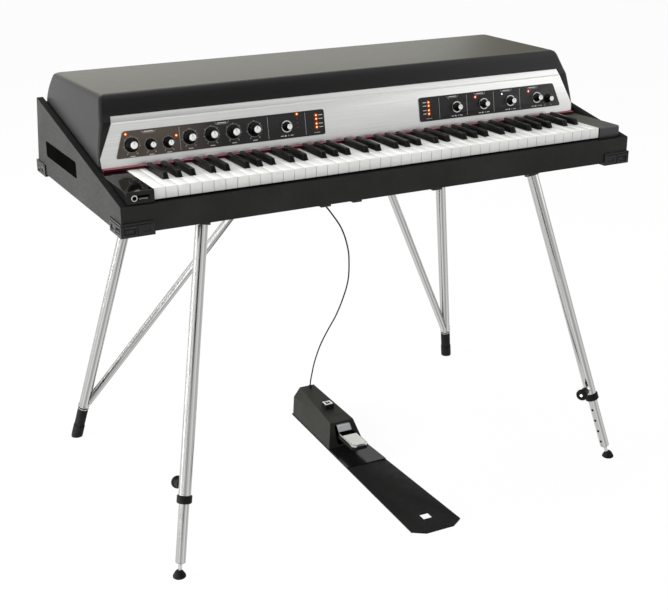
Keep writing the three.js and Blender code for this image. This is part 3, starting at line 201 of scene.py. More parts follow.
# drawn tube: its streaks run along it, at angles kept in the attribute "around"
def drawnTube(name, dark, light, low, high):
    made = Finish(name, light, low, 1)
    made.mix(made.noise(2.1, 3, 0.65, place=made.attribute("around", "Vector")), dark, light, 0.36, 0.6)
    made.rough(made.noise(30, 4, 0.6), low, high)
    made.bump(made.noise(90, 2), 0.002, 0.15)
    return made.mat


def polishedMetal(name, base, low, high, metallic=1):
    made = Finish(name, base, low, metallic)
    made.rough(made.noise(35, 5, 0.7), low, high, 0.35, 0.75)
    made.bump(made.noise(90, 2), 0.01, 0.15)
    return made.mat


def woolFelt(name, dark, light):
    made = Finish(name, light, 0.95, gloss=0.1)
    made.put("Sheen Weight", 0.3)
    made.put("Sheen Roughness", 0.4)
    made.mix(made.noise(600, 4, 0.7), dark, light)
    made.bump(made.noise(1500, 3, 0.8), 0.4, 0.8)
    return made.mat


def woodGrain(name, dark, light, roughness):
    made = Finish(name, light, roughness)
    rings = made.noise(1, 4, 0.6, (14, 260, 260))
    made.mix(rings, dark, light, 0.35, 0.65)
    made.rough(rings, roughness + 0.08, roughness - 0.06)
    made.bump(made.noise(1, 3, 0.6, (60, 1200, 1200)), 0.08, 0.4)
    return made.mat


def lampLens(name, base, strength):
    made = Finish(name, base, 0.35)
    made.glow(base, strength)
    made.bump(made.noise(2000, 1), 0.02, 0.2)
    return made.mat


# plate paint that fades along the keyboard from one shade to the other; the fade is a painted reflection
def reflectionFadePaint(name, first, second, start, end):
    made = Finish(name, second, 0.42, gloss=0.3)
    blend = made.mix(made.part(made.coords(), "X"), first, second, start, end, target=None)
    made.mix(made.noise(700), blend, "8a8a8a", most=0.06)
    made.rough(made.noise(60, 4), 0.34, 0.48)
    made.bump(made.noise(1600, 2), 0.03, 0.4)
    return made.mat


# light that a lamp throws on the plate, strongest in its middle
def lampHalo(name, base, strength):
    made = Finish(name, "121214", 0.42, gloss=0.2)
    made.link(made.attribute("glow", "Fac"), made.shader.inputs["Alpha"])
    made.glow(base, strength)
    made.bump(made.noise(1600, 2), 0.03, 0.4)
    return made.mat


vinyl = pebbledVinyl("pebbled_vinyl", "1c1c1b", "252523", 0.14)
# near-black vinyl for the faces that look up, which is painted shade
shadedVinylTop = pebbledVinyl("vinyl_top_painted_shade", "070707", "0b0b0a", 0.05)
# the hood's lighter top shade is a painted reflection
hoodPlastic = mouldedPlastic("hood_plastic", "111111", "141413", 0.36, 0.38, gloss=0.25, depth=0.02, shade=2,
                             top="4a493e")
blackPlastic = mouldedPlastic("black_plastic", "0f0f0f", "151514", 0.36, 0.48, gloss=0.08)
protectorPlastic = mouldedPlastic("protector_plastic", "151515", "1c1c1b", 0.3, 0.42, gloss=0.25)
glossBlack = mouldedPlastic("gloss_black", "090909", "0d0c0c", 0.12, 0.2, depth=0.005, gloss=0.22)
mirrorBlack = mouldedPlastic("mirror_black", "060606", "080808", 0.05, 0.09, depth=0.004, gloss=0.5, bend=3.2)
# the right cheek's olive top shade is a painted reflection
greyPlastic = mouldedPlastic("grey_plastic", "15171a", "1c1e21", 0.34, 0.42, gloss=0.6, top="3d3d31")
knobPlastic = mouldedPlastic("knob_plastic", "090909", "0f0f0f", 0.26, 0.38, gloss=0.12)
ivoryWhite = mouldedPlastic("key_white", "e4e4e1", "ededea", 0.12, 0.22, depth=0.005)
ebonyBlack = mouldedPlastic("key_black", "0a0a09", "11110f", 0.26, 0.36, depth=0.02, gloss=0.2)
darkSteel = mouldedPlastic("dark_steel", "0f0f0f", "141413", 0.42, 0.55, grain=900, gloss=0.08)
oliveSteel = mouldedPlastic("olive_steel", "181814", "1e1e19", 0.42, 0.52, grain=900, gloss=0.14)
glossSteel = mouldedPlastic("gloss_steel", "0d0d0d", "121212", 0.12, 0.2, grain=900, depth=0.01, gloss=0.3)
rubber = mouldedPlastic("rubber", "0c0c0c", "131312", 0.6, 0.78, depth=0.1, gloss=0.12)
boardGreen = mouldedPlastic("board_green", "1c4a33", "235a3e", 0.35, 0.5)
# white for print, and for the painted highlight on the panel's fold
whiteInkAndHighlight = mouldedPlastic("white_ink_and_painted_highlight", "e6e6e2", "efefec", 0.4, 0.5)
dimInk = mouldedPlastic("dim_ink", "a5a29d", "b3b0ab", 0.4, 0.5)
padGrey = mouldedPlastic("pad_grey", "aeaea8", "c0c0ba", 0.5, 0.62, grain=900, depth=0.1)
neckReflectionGrey = mouldedPlastic("satin_grey_painted_reflection", "8c8e90", "a2a4a5", 0.25, 0.35, gloss=0.8)
sliderGrey = mouldedPlastic("slider_grey", "5c5c58", "6a6a66", 0.4, 0.5)
# near-black for painted shade in holes and recesses, and for printed marks
shadeAndPrintBlack = mouldedPlastic("painted_shade_and_print_black", "030303", "050505", 0.8, 0.9, gloss=0)
panelMetal = brushedSheet("brushed_panel", "c6c6c5", "e4e4e2", 0.3, 0.42)
capMetal = polishedMetal("cap_metal", "fafaf8", 0.16, 0.26, metallic=0.15)
chrome = polishedMetal("chrome", "c4c5c2", 0.1, 0.2)
harpMetal = polishedMetal("harp_metal", "9c9a93", 0.3, 0.38)
tubeMetal = drawnTube("tube_metal", "8d8e8b", "d2d3d0", 0.1, 0.2)
felt = woolFelt("red_felt", "741a2d", "9a3850")
# darker felt for the strip's front, which is painted shade
shadedFelt = woolFelt("felt_painted_shade", "30060f", "4a0c18")
hammerFelt = woolFelt("hammer_felt", "b4ae9f", "cdc8bb")
lacquer = woodGrain("lacquered_wood", "8a5c30", "b98550", 0.42)
blackBoard = woodGrain("black_board", "121110", "191816", 0.6)
# both plates get lighter towards the panel's ends: a painted reflection
leftReflectionPaint = reflectionFadePaint("left_plate_painted_reflection", "50473f", "0f0f11", -0.41, -0.3)
rightReflectionPaint = reflectionFadePaint("right_plate_painted_reflection", "0e0e10", "343436", 0.3, 0.5)
litOrange = lampLens("lamp_orange", "ffb468", 1.7)
litRed = lampLens("lamp_red", "ffb0a0", 1.5)
litWhite = lampLens("lamp_white", "f2f4ff", 1.2)
unlitRed = lampLens("lamp_unlit", "5a1712", 0.05)
redHalo = lampHalo("red_halo", "d8441c", 0.9)
print("materials done")


# ways of making pieces; widths of rounded edges are in mm
merge = dict(reach=0.002, spunReach=0.001, flatAngle=0.4)


def newThing(bm, name, material=None):
    mesh = bpy.data.meshes.new(name)
    bm.to_mesh(mesh)
    bm.free()
    if material:
        mesh.materials.append(material)
    return addObject(name, mesh)


def shadeSmooth(piece, angle=35):
    piece.data.shade_smooth()
    piece.data.set_sharp_from_angle(angle=radians(angle))


# a mesh with its doubles merged and its flat faces joined
def joined(mesh, reach=merge["reach"]):
    bm = bmesh.new()
    bm.from_mesh(mesh)
    bmesh.ops.remove_doubles(bm, verts=bm.verts, dist=reach * mm)
    bmesh.ops.dissolve_limit(bm, angle_limit=radians(merge["flatAngle"]), verts=bm.verts, edges=bm.edges)
    return bm


def nodeCopy(name):
    return joined(nodes[name].data)


def roundEdges(piece, width, steps=2, angle=40):
    edge = piece.modifiers.new("edges", "BEVEL")
    edge.width = width * mm
    edge.segments = steps
    edge.limit_method = "ANGLE"
    edge.angle_limit = radians(angle)
    edge.harden_normals = True


def addWall(piece, thickness):
    wall = piece.modifiers.new("wall", "SOLIDIFY")
    wall.thickness = thickness * mm
    wall.offset = -1
    return wall


def addPiece(bm, name, material, slot=None, body="piano", stands=(), bevel=0, steps=2, smooth=35, angle=40,
             fix=True):
    if fix:
        bmesh.ops.remove_doubles(bm, verts=bm.verts, dist=merge["reach"] * mm)
        bmesh.ops.recalc_face_normals(bm, faces=bm.faces)
    piece = newThing(bm, name, material)
    shadeSmooth(piece, smooth)
    if bevel:
        roundEdges(piece, bevel, steps, angle)
    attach(piece, body)
    if stands:
        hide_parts(*stands)
    return piece


# a piece with the shape of its node
def dress(node, name, material, slot, **more):
    return addPiece(nodeCopy(node), name, material, slot, stands=[node], **more)


def evaluated(thing):
    bpy.context.view_layer.update()
    return bpy.data.meshes.new_from_object(thing.evaluated_get(bpy.context.evaluated_depsgraph_get()))


def combine(piece, *parts, operation="DIFFERENCE"):
    for bm in parts:
        bmesh.ops.recalc_face_normals(bm, faces=bm.faces)
        tool = newThing(bm, "tool")
        step = piece.modifiers.new("step", "BOOLEAN")
        step.operation, step.object, step.solver = operation, tool, "EXACT"
        shaped = evaluated(piece)
        piece.modifiers.clear()
        piece.data = shaped
        bpy.data.objects.remove(tool)
    shadeSmooth(piece)


# a second material on the faces whose middle and normal pass the test
def paintFaces(piece, material, test):
    piece.data.materials.append(material)
    for face in piece.data.polygons:
        if test(face.center, face.normal):
            face.material_index = len(piece.data.materials) - 1


def bevelParts(bm, geom, width, steps, affect="EDGES"):
    bmesh.ops.bevel(bm, geom=list(geom), offset=width * mm, segments=steps, profile=0.5, affect=affect, material=-1,
                    clamp_overlap=affect == "EDGES")


def addBox(bm, low, high, bevel=0, steps=2):
    low, high = Vector(low), Vector(high)
    place = Matrix.Translation((low + high) / 2) @ Matrix.Diagonal((*(high - low), 1))
    made = bmesh.ops.create_cube(bm, size=1, matrix=place)["verts"]
    if bevel:
        bevelParts(bm, dict.fromkeys(e for v in made for e in v.link_edges), bevel, steps)


def box(low, high, bevel=0, steps=2):
    bm = bmesh.new()
    addBox(bm, low, high, bevel, steps)
    return bm


def moved(bm, place):
    bmesh.ops.transform(bm, matrix=place, verts=bm.verts)
    return bm


def inMillimetres(place):
    return place @ Matrix.Diagonal((mm, mm, mm, 1))


def aim(point, direction):
    return Matrix.Translation(point) @ Vector(direction).to_track_quat("Z", "Y").to_matrix().to_4x4()


def axisAt(point, direction):
    return inMillimetres(aim(point, direction))


# the level direction at a turn, made square to a tube's axis
def squareTo(direction, turn):
    level = Vector((cos(radians(turn)), sin(radians(turn)), 0))
    return (level - direction * level.dot(direction)).normalized()


# keeps each vertex's direction from a tube's axis for the streaks along it
def markAround(bm, point, direction):
    layer = bm.verts.layers.float_vector.new("around")
    across = squareTo(direction, 0)
    beside = direction.cross(across)
    for v in bm.verts:
        offset = v.co - point
        v[layer] = Vector((offset.dot(across), offset.dot(beside), 0)).normalized()
    return bm


def spun(bm, profile, place=Matrix(), segments=48):
    verts = [bm.verts.new((r, 0, z)) for r, z in profile]
    edges = [bm.edges.new(pair) for pair in zip(verts, verts[1:])]
    before = set(bm.verts) - set(verts)
    bmesh.ops.spin(bm, geom=verts + edges, cent=(0, 0, 0), axis=(0, 0, 1), dvec=(0, 0, 0),
                   angle=2 * pi, steps=segments, use_merge=True)
    bmesh.ops.remove_doubles(bm, verts=[v for v in bm.verts if v not in before], dist=merge["spunReach"] * mm)
    made = [v for v in bm.verts if v not in before]
    bmesh.ops.transform(bm, matrix=place, verts=made)
    return made


def turned(profile, place=Matrix(), segments=48):
    bm = bmesh.new()
    spun(bm, profile, place, segments)
    return bm


def rodProfile(radius, low, high, edge=0):
    return [(0, low), (radius - edge, low), (radius, low + edge), (radius, high - edge), (radius - edge, high),
            (0, high)]


def ringed(inner, outer, low, high, edge=0):
    return [(inner, low), *rodProfile(outer, low, high, edge)[1:-1], (inner, high), (inner, low)]


# the far side of faces pushed along a way
def pushFaces(bm, faces, way):
    made = bmesh.ops.extrude_face_region(bm, geom=faces)["geom"]
    bmesh.ops.translate(bm, vec=way, verts=[v for v in made if isinstance(v, BMVert)])


def prism(bm, points, way):
    pushFaces(bm, [bm.faces.new([bm.verts.new(p) for p in points])], way)


# studio: white floor and world, soft lamps, and cards that only reflections see: dark ones high in front and
# behind, low in front and on the floor, a grey one at the right and a light one at the left
studio = dict(floorSize=40, worldLight=0.5, floorGlow=0.95, paper=0.86, aimDrop=0.6)
studioCards = [("front_card", (-4.5, -4.25, 2.3), (6.5, -4.2, 6.8), "1c1c1c"),
               ("rear_card", (-4.5, 2.6, 2.5), (1.6, 2.65, 6.4), "1c1c1c"),
               ("right_card", (3.2, 4.2, 0.8), (8.0, 4.25, 3.4), "4c4c4c"),
               ("left_card", (-2.1, -1.9, 0.02), (-2.05, 2.6, 3.2), "f4f4f4"),
               ("streak_card", (-3.0, -4.25, 1.1), (-0.95, -4.2, 2.3), "040404"),
               ("floor_card", (-2.7, -4.1, 0.005), (-0.75, -1.7, 0.01), "101010")]
studioLamps = [("front_lamp", (-2.0, -3.4, 3.2), 2.4, 42), ("left_lamp", (-3.5, 0.7, 1.2), 2.2, 150),
               ("top_lamp", (-0.3, 1.5, 3.6), 2.6, 64), ("right_lamp", (3.4, -1.6, 2.4), 3.2, 32),
               ("near_lamp", (-2.2, 0.35, 0.9), 1.2, 60)]


# high for rays from the camera, a reflection or glass, low for the rest
def seenAmount(tree, low, high):
    rays = addNode(tree, "LightPath")
    total = rays.outputs["Is Camera Ray"]
    for kind in ("Is Glossy Ray", "Is Transmission Ray"):
        either = addNode(tree, "Math", operation="MAXIMUM")
        tree.links.new(total, either.inputs[0])
        tree.links.new(rays.outputs[kind], either.inputs[1])
        total = either.outputs[0]
    span = addNode(tree, "MapRange", {"To Min": low, "To Max": high})
    tree.links.new(total, span.inputs["Value"])
    return span.outputs["Result"]


def makeFloor():
    paper = Finish("floor_paper", "ffffff", 0.8)
    paper.put("Base Color", (studio["paper"], studio["paper"], studio["paper"], 1))
    paper.bump(paper.noise(40), 0.2, 0.1)
    blend = paper.node("MixShader")
    paper.link(seenAmount(paper.tree, 0, studio["floorGlow"]), blend.inputs[0])
    paper.link(paper.shader.outputs[0], blend.inputs[1])
    paper.link(paper.node("Emission").outputs[0], blend.inputs[2])
    paper.link(blend.outputs[0], paper.tree.nodes["Material Output"].inputs["Surface"])
    bm = bmesh.new()
    bmesh.ops.create_grid(bm, x_segments=1, y_segments=1, size=studio["floorSize"] / 2)
    newThing(bm, "floor", paper.mat)


def makeStudio():
    world = bpy.data.worlds.new("studio")
    scene.world = world
    world.use_nodes = True
    background = world.node_tree.nodes["Background"]
    background.inputs["Color"].default_value = (1, 1, 1, 1)
    world.node_tree.links.new(seenAmount(world.node_tree, studio["worldLight"], 1), background.inputs["Strength"])
    makeFloor()
    for name, low, high, shade in studioCards:
        paint = Finish(name, shade, 0.9)
        paint.bump(paint.noise(5, 2), 1, 0.2)
        card = newThing(box(low, high), name, paint.mat)
        card.visible_camera = card.visible_shadow = card.visible_diffuse = False
    for name, place, size, power in studioLamps:
        lamp = bpy.data.lights.new(name, "AREA")
        lamp.shape, lamp.size, lamp.energy = "SQUARE", size, power
        addObject(name, lamp).matrix_world = aim(place, Vector(place) - Vector((0, 0, studio["aimDrop"])))


makeStudio()
print("studio done")

# cord from the case to the pedal; the route is the one that the solid follows
cord = dict(radius=1.6, steps=14, rings=5, route=[
    (-119, -153.5, 656.7), (-118.7, -153.3, 653), (-110.9, -149.5, 643.8), (-70.9, -126.8, 593.7),
    (-36.7, -91.2, 533.6), (-17.4, -59.7, 488.6), (3.2, -15.5, 431.2), (15.8, 33.1, 371.6),
    (22.6, 82.9, 310.8), (21, 122.1, 260.9), (19.6, 158.7, 210.4), (21.7, 196.6, 149.8),
    (24.1, 216.4, 110.4), (25.9, 226.8, 90), (26.4, 229.6, 81), (26.4, 229.8, 76.6)])


# centripetal curve through the points, as the solid's own is
def smoothRoute(points, steps):
    whole = [points[0] * 2 - points[1], *points, points[-1] * 2 - points[-2]]
    out = [points[0]]
    for a, b, c, d in zip(whole, whole[1:], whole[2:], whole[3:]):
        gaps = [max((q - p).length, 1e-6) ** 0.5 for p, q in ((a, b), (b, c), (c, d))]
        start = (b - a) / gaps[0] - (c - a) / (gaps[0] + gaps[1]) + (c - b) / gaps[1]
        end = (c - b) / gaps[1] - (d - b) / (gaps[1] + gaps[2]) + (d - c) / gaps[2]
        start, end = start * gaps[1], end * gaps[1]
        for i in range(1, steps + 1):
            t = i / steps
            out.append(b * (2 * t ** 3 - 3 * t * t + 1) + start * (t ** 3 - 2 * t * t + t)
                       + c * (3 * t * t - 2 * t ** 3) + end * (t ** 3 - t * t))
    return out


def makeCord():
    line = smoothRoute([Vector(p) * mm for p in cord["route"]], cord["steps"])
    curve = bpy.data.curves.new("sustain_cord", "CURVE")
    curve.dimensions = "3D"
    curve.bevel_depth = cord["radius"] * mm
    curve.bevel_resolution = cord["rings"]
    curve.use_fill_caps = True
    spline = curve.splines.new("POLY")
    spline.points.add(len(line) - 1)
    for point, place in zip(spline.points, line):
        point.co = (*place, 1)
    curve.materials.append(rubber)
    piece = addObject("sustain_cord", curve)
    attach(piece, "piano")
    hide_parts("sustain_cable")


makeCord()

# case; places in it are in mm from the middle, the front board and the bottom
case = dict(front=-242 * mm, bottom=684 * mm, edge=1.6, overlap=1.2 * mm, joinReach=0.005, topFacing=0.3)


def inCase(x, y, z):
    return Vector((x * mm, case["front"] + y * mm, case["bottom"] + z * mm))


# boxes in one mesh, each from (low corner, high corner)
def caseBoxes(rows, bevel=0, steps=2):
    bm = bmesh.new()
    for low, high in rows:
        addBox(bm, inCase(*low), inCase(*high), bevel, steps)
    return bm


# a copy of a node made longer at both ends, so that it runs into the sides
def stretched(name):
    bm = nodeCopy(name)
    half = max(v.co.x for v in bm.verts)
    bmesh.ops.scale(bm, vec=(1 + case["overlap"] / half, 1, 1), verts=bm.verts)
    return bm


# one vinyl skin runs round the four walls
def makeCase():
    shell = addPiece(nodeCopy("left_side_panel"), "case_shell", vinyl, "vinyl",
                     stands=("left_side_panel", "right_side_panel", "front_rail", "rear_panel"))
    combine(shell, nodeCopy("right_side_panel"), stretched("front_rail"), stretched("rear_panel"),
            operation="UNION")
    bm = joined(shell.data, case["joinReach"])
    bm.to_mesh(shell.data)
    bm.free()
    roundEdges(shell, case["edge"], 3)
    # faces that look up get a near-black vinyl: painted shade along the top edges of the walls
    paintFaces(shell, shadedVinylTop, lambda middle, normal: normal.z > case["topFacing"])


makeCase()

# near-black linings of the handle recesses, which are painted shade, each closed by a flat face; their walls grow
# outwards
handle = dict(outer=573.7, corners=[(269, 45), (485, 45), (485, 76), (269, 76)], reach=22.4, corner=5, steps=6,
              lining=0.7)


def makeHandleLining(word):
    h, side = handle, sides[word]
    bm = bmesh.new()
    corners = [bm.verts.new(inCase(side * h["outer"], y, z)) for y, z in h["corners"]]
    bm.faces.new(corners)
    bevelParts(bm, corners, h["corner"], h["steps"], "VERTICES")
    pushFaces(bm, bm.faces[:], (-side * h["reach"] * mm, 0, 0))
    bmesh.ops.recalc_face_normals(bm, faces=bm.faces)
    bmesh.ops.reverse_faces(bm, faces=bm.faces)
    addWall(addPiece(bm, f"{word}_handle_lining", shadeAndPrintBlack, "fitting_black", fix=False), h["lining"])


for word in sides:
    makeHandleLining(word)
print("case done")

# hood, grown in rings from its lower rim to its top; its front follows the panel
hood = dict(height=214, wall=3, sink=8, bottomHalf=558, frontHalf=533, rearHalf=541, frontFoot=171, frontCorner=7,
            frontRound=0.5, frontTop=216, rearFoot=524, rearTop=511, corner=16, round=12, frontBow=1.3, rearBow=2,
            arcSteps=10, spanSteps=4, roundSteps=8)
slope = dict(frontHeight=52, rise=109, depth=530)
panel = dict(bottomY=172, bottomZ=82, foldY=185, foldZ=163, topY=194, topZ=175, kinkZ=100, kinkHalf=552,
             foldHalf=523, topHalf=520, margin=0.8, barInset=1.5, barWidth=2.4, barThick=0.8, barLift=0.25)


def lerp(a, b, t):
    return a + (b - a) * t


def sideTop(y):
    return slope["frontHeight"] + slope["rise"] * y / slope["depth"]


hoodBottom = sideTop(hood["frontFoot"]) - hood["sink"]


def hoodShare(z):
    return (z - hoodBottom) / (hood["height"] - hoodBottom)


def hoodFrontY(z):
    stops = [(hoodBottom, hood["frontFoot"]), (panel["foldZ"], panel["foldY"]), (panel["topZ"], panel["topY"]),
             (hood["height"], hood["frontTop"])]
    for (z0, y0), (z1, y1) in zip(stops, stops[1:]):
        if z <= z1:
            break
    return lerp(y0, y1, (z - z0) / (z1 - z0))


def hoodRing(share, inset):
    h = hood
    front = hoodFrontY(lerp(hoodBottom, h["height"], share)) + inset * h["frontRound"]
    rear = lerp(h["rearFoot"], h["rearTop"], share) - inset
    nose, tail = (r - min(inset, r / 2) for r in (h["frontCorner"], h["corner"]))
    ring = []
    for across, y, start, radius in ((1, front + nose, -90, nose), (1, rear - tail, 0, tail),
                                     (-1, rear - tail, 90, tail), (-1, front + nose, 180, nose)):
        for i in range(h["arcSteps"] + 1):
            angle = radians(start + 90 * i / h["arcSteps"])
            py = y + radius * sin(angle)
            back = min(max((y - front) / (rear - front), 0), 1)
            half = lerp(h["bottomHalf"], lerp(h["frontHalf"], h["rearHalf"], back),
                        share ** lerp(h["frontBow"], h["rearBow"], back)) - inset
            px = across * (half - radius) + radius * cos(angle)
            ring.append(inCase(px, py, lerp(sideTop(py) - h["sink"], h["height"], share)))
    return ring


def makeHood():
    h, p, m = hood, panel, panel["margin"]
    roundStart = h["height"] - h["round"]
    stops = [0, *(hoodShare(z) for z in (p["kinkZ"], p["foldZ"], p["topZ"], roundStart))]
    rings = [(lerp(a, b, i / h["spanSteps"]), 0) for a, b in zip(stops, stops[1:]) for i in range(h["spanSteps"])]
    for i in range(h["roundSteps"] + 1):
        angle = radians(90 * i / h["roundSteps"])
        rings.append((hoodShare(roundStart + h["round"] * sin(angle)), h["round"] * (1 - cos(angle))))
    bm = bmesh.new()
    loop = [bm.verts.new(p) for p in hoodRing(*rings[0])]
    edges = [bm.edges.new((a, b)) for a, b in zip(loop, loop[1:] + loop[:1])]
    for ring in rings[1:]:
        grown = bmesh.ops.extrude_edge_only(bm, edges=edges)["geom"]
        fresh = {v for v in grown if isinstance(v, BMVert)}
        edges = [e for e in grown if isinstance(e, BMEdge) and set(e.verts) <= fresh]
        loop = [next(e.other_vert(old) for e in old.link_edges if e.other_vert(old) in fresh) for old in loop]
        for vert, place in zip(loop, hoodRing(*ring)):
            vert.co = place
    bmesh.ops.contextual_create(bm, geom=edges)
    bmesh.ops.recalc_face_normals(bm, faces=bm.faces)
    piece = addPiece(bm, "hood_shell", hoodPlastic, "hood_shell", "hood", ["hood"], fix=False)
    addWall(piece, h["wall"]).use_even_offset = True
    right = [(p["kinkHalf"] + m, 0), (p["kinkHalf"] + m, p["kinkZ"]), (p["foldHalf"] + m, p["foldZ"]),
             (p["topHalf"] + m, p["topZ"] + m)]
    left = [(-x, z) for x, z in right]
    window = bmesh.new()
    prism(window, [inCase(x, 0, z) for x, z in (left[0], *right, *left[:0:-1])], (0, h["frontTop"] * mm, 0))
    combine(piece, window)


makeHood()
print("hood done")

# control panel and its plates; places on it are (x, height up the face) in mm
faceUp = Vector((0, panel["foldY"] - panel["bottomY"], panel["foldZ"] - panel["bottomZ"])).normalized()
faceOut = Vector((0, -faceUp.z, faceUp.y))
plate = dict(thickness=1.6, gap=0.3, edge=0.3)
plateTop = plate["thickness"] + plate["gap"]


def onFace(x, s, lift=0.0, turn=0.0):
    place = inCase(x, panel["bottomY"], panel["bottomZ"]) + (faceUp * s + faceOut * lift) * mm
    axes = Matrix((Vector((1, 0, 0)), faceUp, faceOut)).transposed().to_4x4()
    return Matrix.Translation(place) @ axes @ Matrix.Rotation(radians(turn), 4, "Z")


def spunOnFace(bm, profile, x, s, lift=plateTop, segments=48):
    return spun(bm, profile, inMillimetres(onFace(x, s, lift)), segments)


# a thin bar on the face, given by its middle
def addBar(bm, place, *lengths):
    bmesh.ops.create_cube(bm, size=1, matrix=place @ Matrix.Diagonal((*(length * mm for length in lengths), 1)))


def makePanel():
    p = panel
    dress("control_panel", "front_panel", panelMetal, "panel_aluminium", bevel=1, steps=3, angle=15)
    # each plate's paint fades into a painted reflection towards its end
    for word, paint in (("left", leftReflectionPaint), ("right", rightReflectionPaint)):
        dress(f"{word}_control_plate", f"{word}_plate", paint, "plate_black", bevel=plate["edge"])
    rise = (onFace(0, 0).inverted() @ inCase(0, p["foldY"], p["foldZ"])).y / mm
    # a white bar along the fold is a painted highlight
    bm = bmesh.new()
    addBar(bm, onFace(0, rise, p["barLift"]), 2 * (p["foldHalf"] - p["barInset"]), p["barWidth"], p["barThick"])
    addPiece(bm, "panel_fold_highlight", whiteInkAndHighlight, "panel_aluminium")


makePanel()

# knobs; rows are (radius, height), where the skirt adds to the knob's radius and grip and cap are shares of the
# cap's radius, as the mark's y is
knob = dict(capShare=0.62, shaft=[(0, -6.9), (2.9, -6.9), (2.9, 0)], skirt=[(-0.6, 0), (0, 0.6), (0, 1.8)],
            grip=[(1.288, 4.4), (1.15, 5.6), (1.02, 15.3), (0.96, 16), (0.86, 16), (0, 16)],
            cap=[(0, 15.9), (0.86, 15.9), (0.9, 16.2), (0.84, 16.5), (0, 16.5)], ribs=22, ribDepth=0.93,
            ribLow=5, ribHigh=15.9, mark=((-0.35, 0.15, 16.4), (0.35, 0.75, 16.55)),
            ring=(10, 12.5, 0.02, 1.9, 0.7))
knobSpots = [(-488, 38.5, 12.6, "big"), (-450, 35.5, 9.6, "small"), (-414, 35.5, 9.6, "small"),
             (-369.5, 40.5, 12.6, "big"), (-324, 41, 12.6, "big"), (-277.5, 41, 12.6, "big"),
             (-232.5, 41, 12.6, "big"), (-162, 39, 9.8, "ring"), (244.5, 38, 9.8, "ring"), (314.5, 38, 9.8, "ring"),
             (384.5, 38, 9.8, "ring"), (456, 38, 9.8, "ring"), (485.5, 33, 9.6, "small")]


def makeKnob(body, x, s, radius):
    k, capRadius = knob, radius * knob["capShare"]
    place = inMillimetres(onFace(x, s, plateTop + plate["gap"]))
    grip, cap = ([(r * capRadius, z) for r, z in k[part]] for part in ("grip", "cap"))
    bm = bmesh.new()
    for v in spun(bm, [*k["shaft"], *((radius + r, z) for r, z in k["skirt"]), *grip], segments=2 * k["ribs"]):
        turn = round(atan2(v.co.y, v.co.x) / pi * k["ribs"])
        if turn % 2 and k["ribLow"] < v.co.z < k["ribHigh"]:
            v.co.xy = v.co.xy * k["ribDepth"]
    addPiece(moved(bm, place), f"{body}_grip", knobPlastic, "knob_black", body, [body], smooth=40)
    addPiece(turned(cap, place, 40), f"{body}_cap", capMetal, "panel_aluminium", body)
    line = box(*((across, up * capRadius, high) for across, up, high in k["mark"]))
    addPiece(moved(line, place), f"{body}_mark", shadeAndPrintBlack, "knob_black", body)


for number, (x, s, radius, kind) in enumerate(knobSpots, 1):
    makeKnob(f"knob_{number:02d}", x, s, radius)
    if kind == "ring":
        bm = bmesh.new()
        spunOnFace(bm, ringed(*knob["ring"]), x, s)
        addPiece(bm, f"ring_{number:02d}", chrome, "chrome")
print("knobs done")

# lamps with their glow, dials and printed marks on the plates
lamps = dict(profile=[(0, -0.3), (1.7, -0.3), (1.7, 0.4), (1.19, 0.85), (0, 1)], halo=5.4, haloSteps=6, haloTop=0.05,
             haloBottom=0.01, haloApart=0.012, haloHeights=5, orange=[
    (-498, 59.6), (-397.1, 47.1), (-137.2, 61.4), (-94.3, 54.6), (-94.3, 47.3), (-94.3, 37.8), (-94.3, 30.6),
    (174.3, 54.4), (174.3, 47.1), (174.3, 37.4), (174.3, 30)], red=[(293.4, 54.2), (434.4, 53.5)],
    white=[(363.3, 54.1)], unlit=[(224.6, 54.6), (-137.2, 52), (-137.2, 43), (-137.2, 34)])
dial = dict(last=480, margin=2.1, rim=0.45, rise=0.12, rimRise=0.17)
marks = dict(thick=0.12, lift=0.4, dividers=[-390.2, -202.7, -119.1, 200.7, 271.1, 341, 410.4],
             divider=(40, 0.8, 44), ringDrop=18.6, ringRow=[(-10.5, 7, 1.2), (-3.4, 2.8, 2.8), (10.5, 7, 1.2)],
             numberSize=3.2, numberThick=0.05, numberLift=0.06, ringNumber=(3.2, 4),
             ticks={"big": (31, 10, 5), "small": (11, 30, 10)}, tickGap=4.2, start=-150, longTick=(0.5, 2.2),
             shortTick=(0.35, 1.3), numberGap=(3.2, 3), nameDrop=9.2, name=(10, 1),
             heads=(-452, -301, 235, 305, 375, 445), head=(61.2, 19, 1.3), headLine=(58.6, 22, 0.7),
             headEnd=(13.2, 61, 0.7, 6.2, -36), columns=((-94.3, 10), (174.3, -10)),
             levels=(54.6, 47.3, 37.8, 30.6), label=(9, 1.2), foot=(20, 14, 1.2))


def makeLamps():
    for kind, material in (("orange", litOrange), ("red", litRed), ("white", litWhite), ("unlit", unlitRed)):
        bm = bmesh.new()
        for x, s in lamps[kind]:
            spunOnFace(bm, lamps["profile"], x, s, segments=16)
        addPiece(bm, f"lamps_{kind}", material)


# thin discs on the plate whose glow fades from each lamp outwards
def makeHaloes():
    bm = bmesh.new()
    glow = bm.verts.layers.float.new("glow")
    reach, steps, bottom = lamps["halo"], lamps["haloSteps"], lamps["haloBottom"]
    profile = [(reach * i / steps, lamps["haloTop"]) for i in range(steps + 1)] + [(reach, bottom), (0, bottom)]
    for i, (x, s) in enumerate(lamps["orange"] + lamps["red"]):
        lift = plateTop + lamps["haloApart"] * (i % lamps["haloHeights"])
        for v in spunOnFace(bm, profile, x, s, lift, 24):
            away = (v.co - onFace(x, s, lift).translation).length / mm / reach
            v[glow] = max(0, 1 - away) ** 2
    addPiece(bm, "lamp_glow", redHalo)


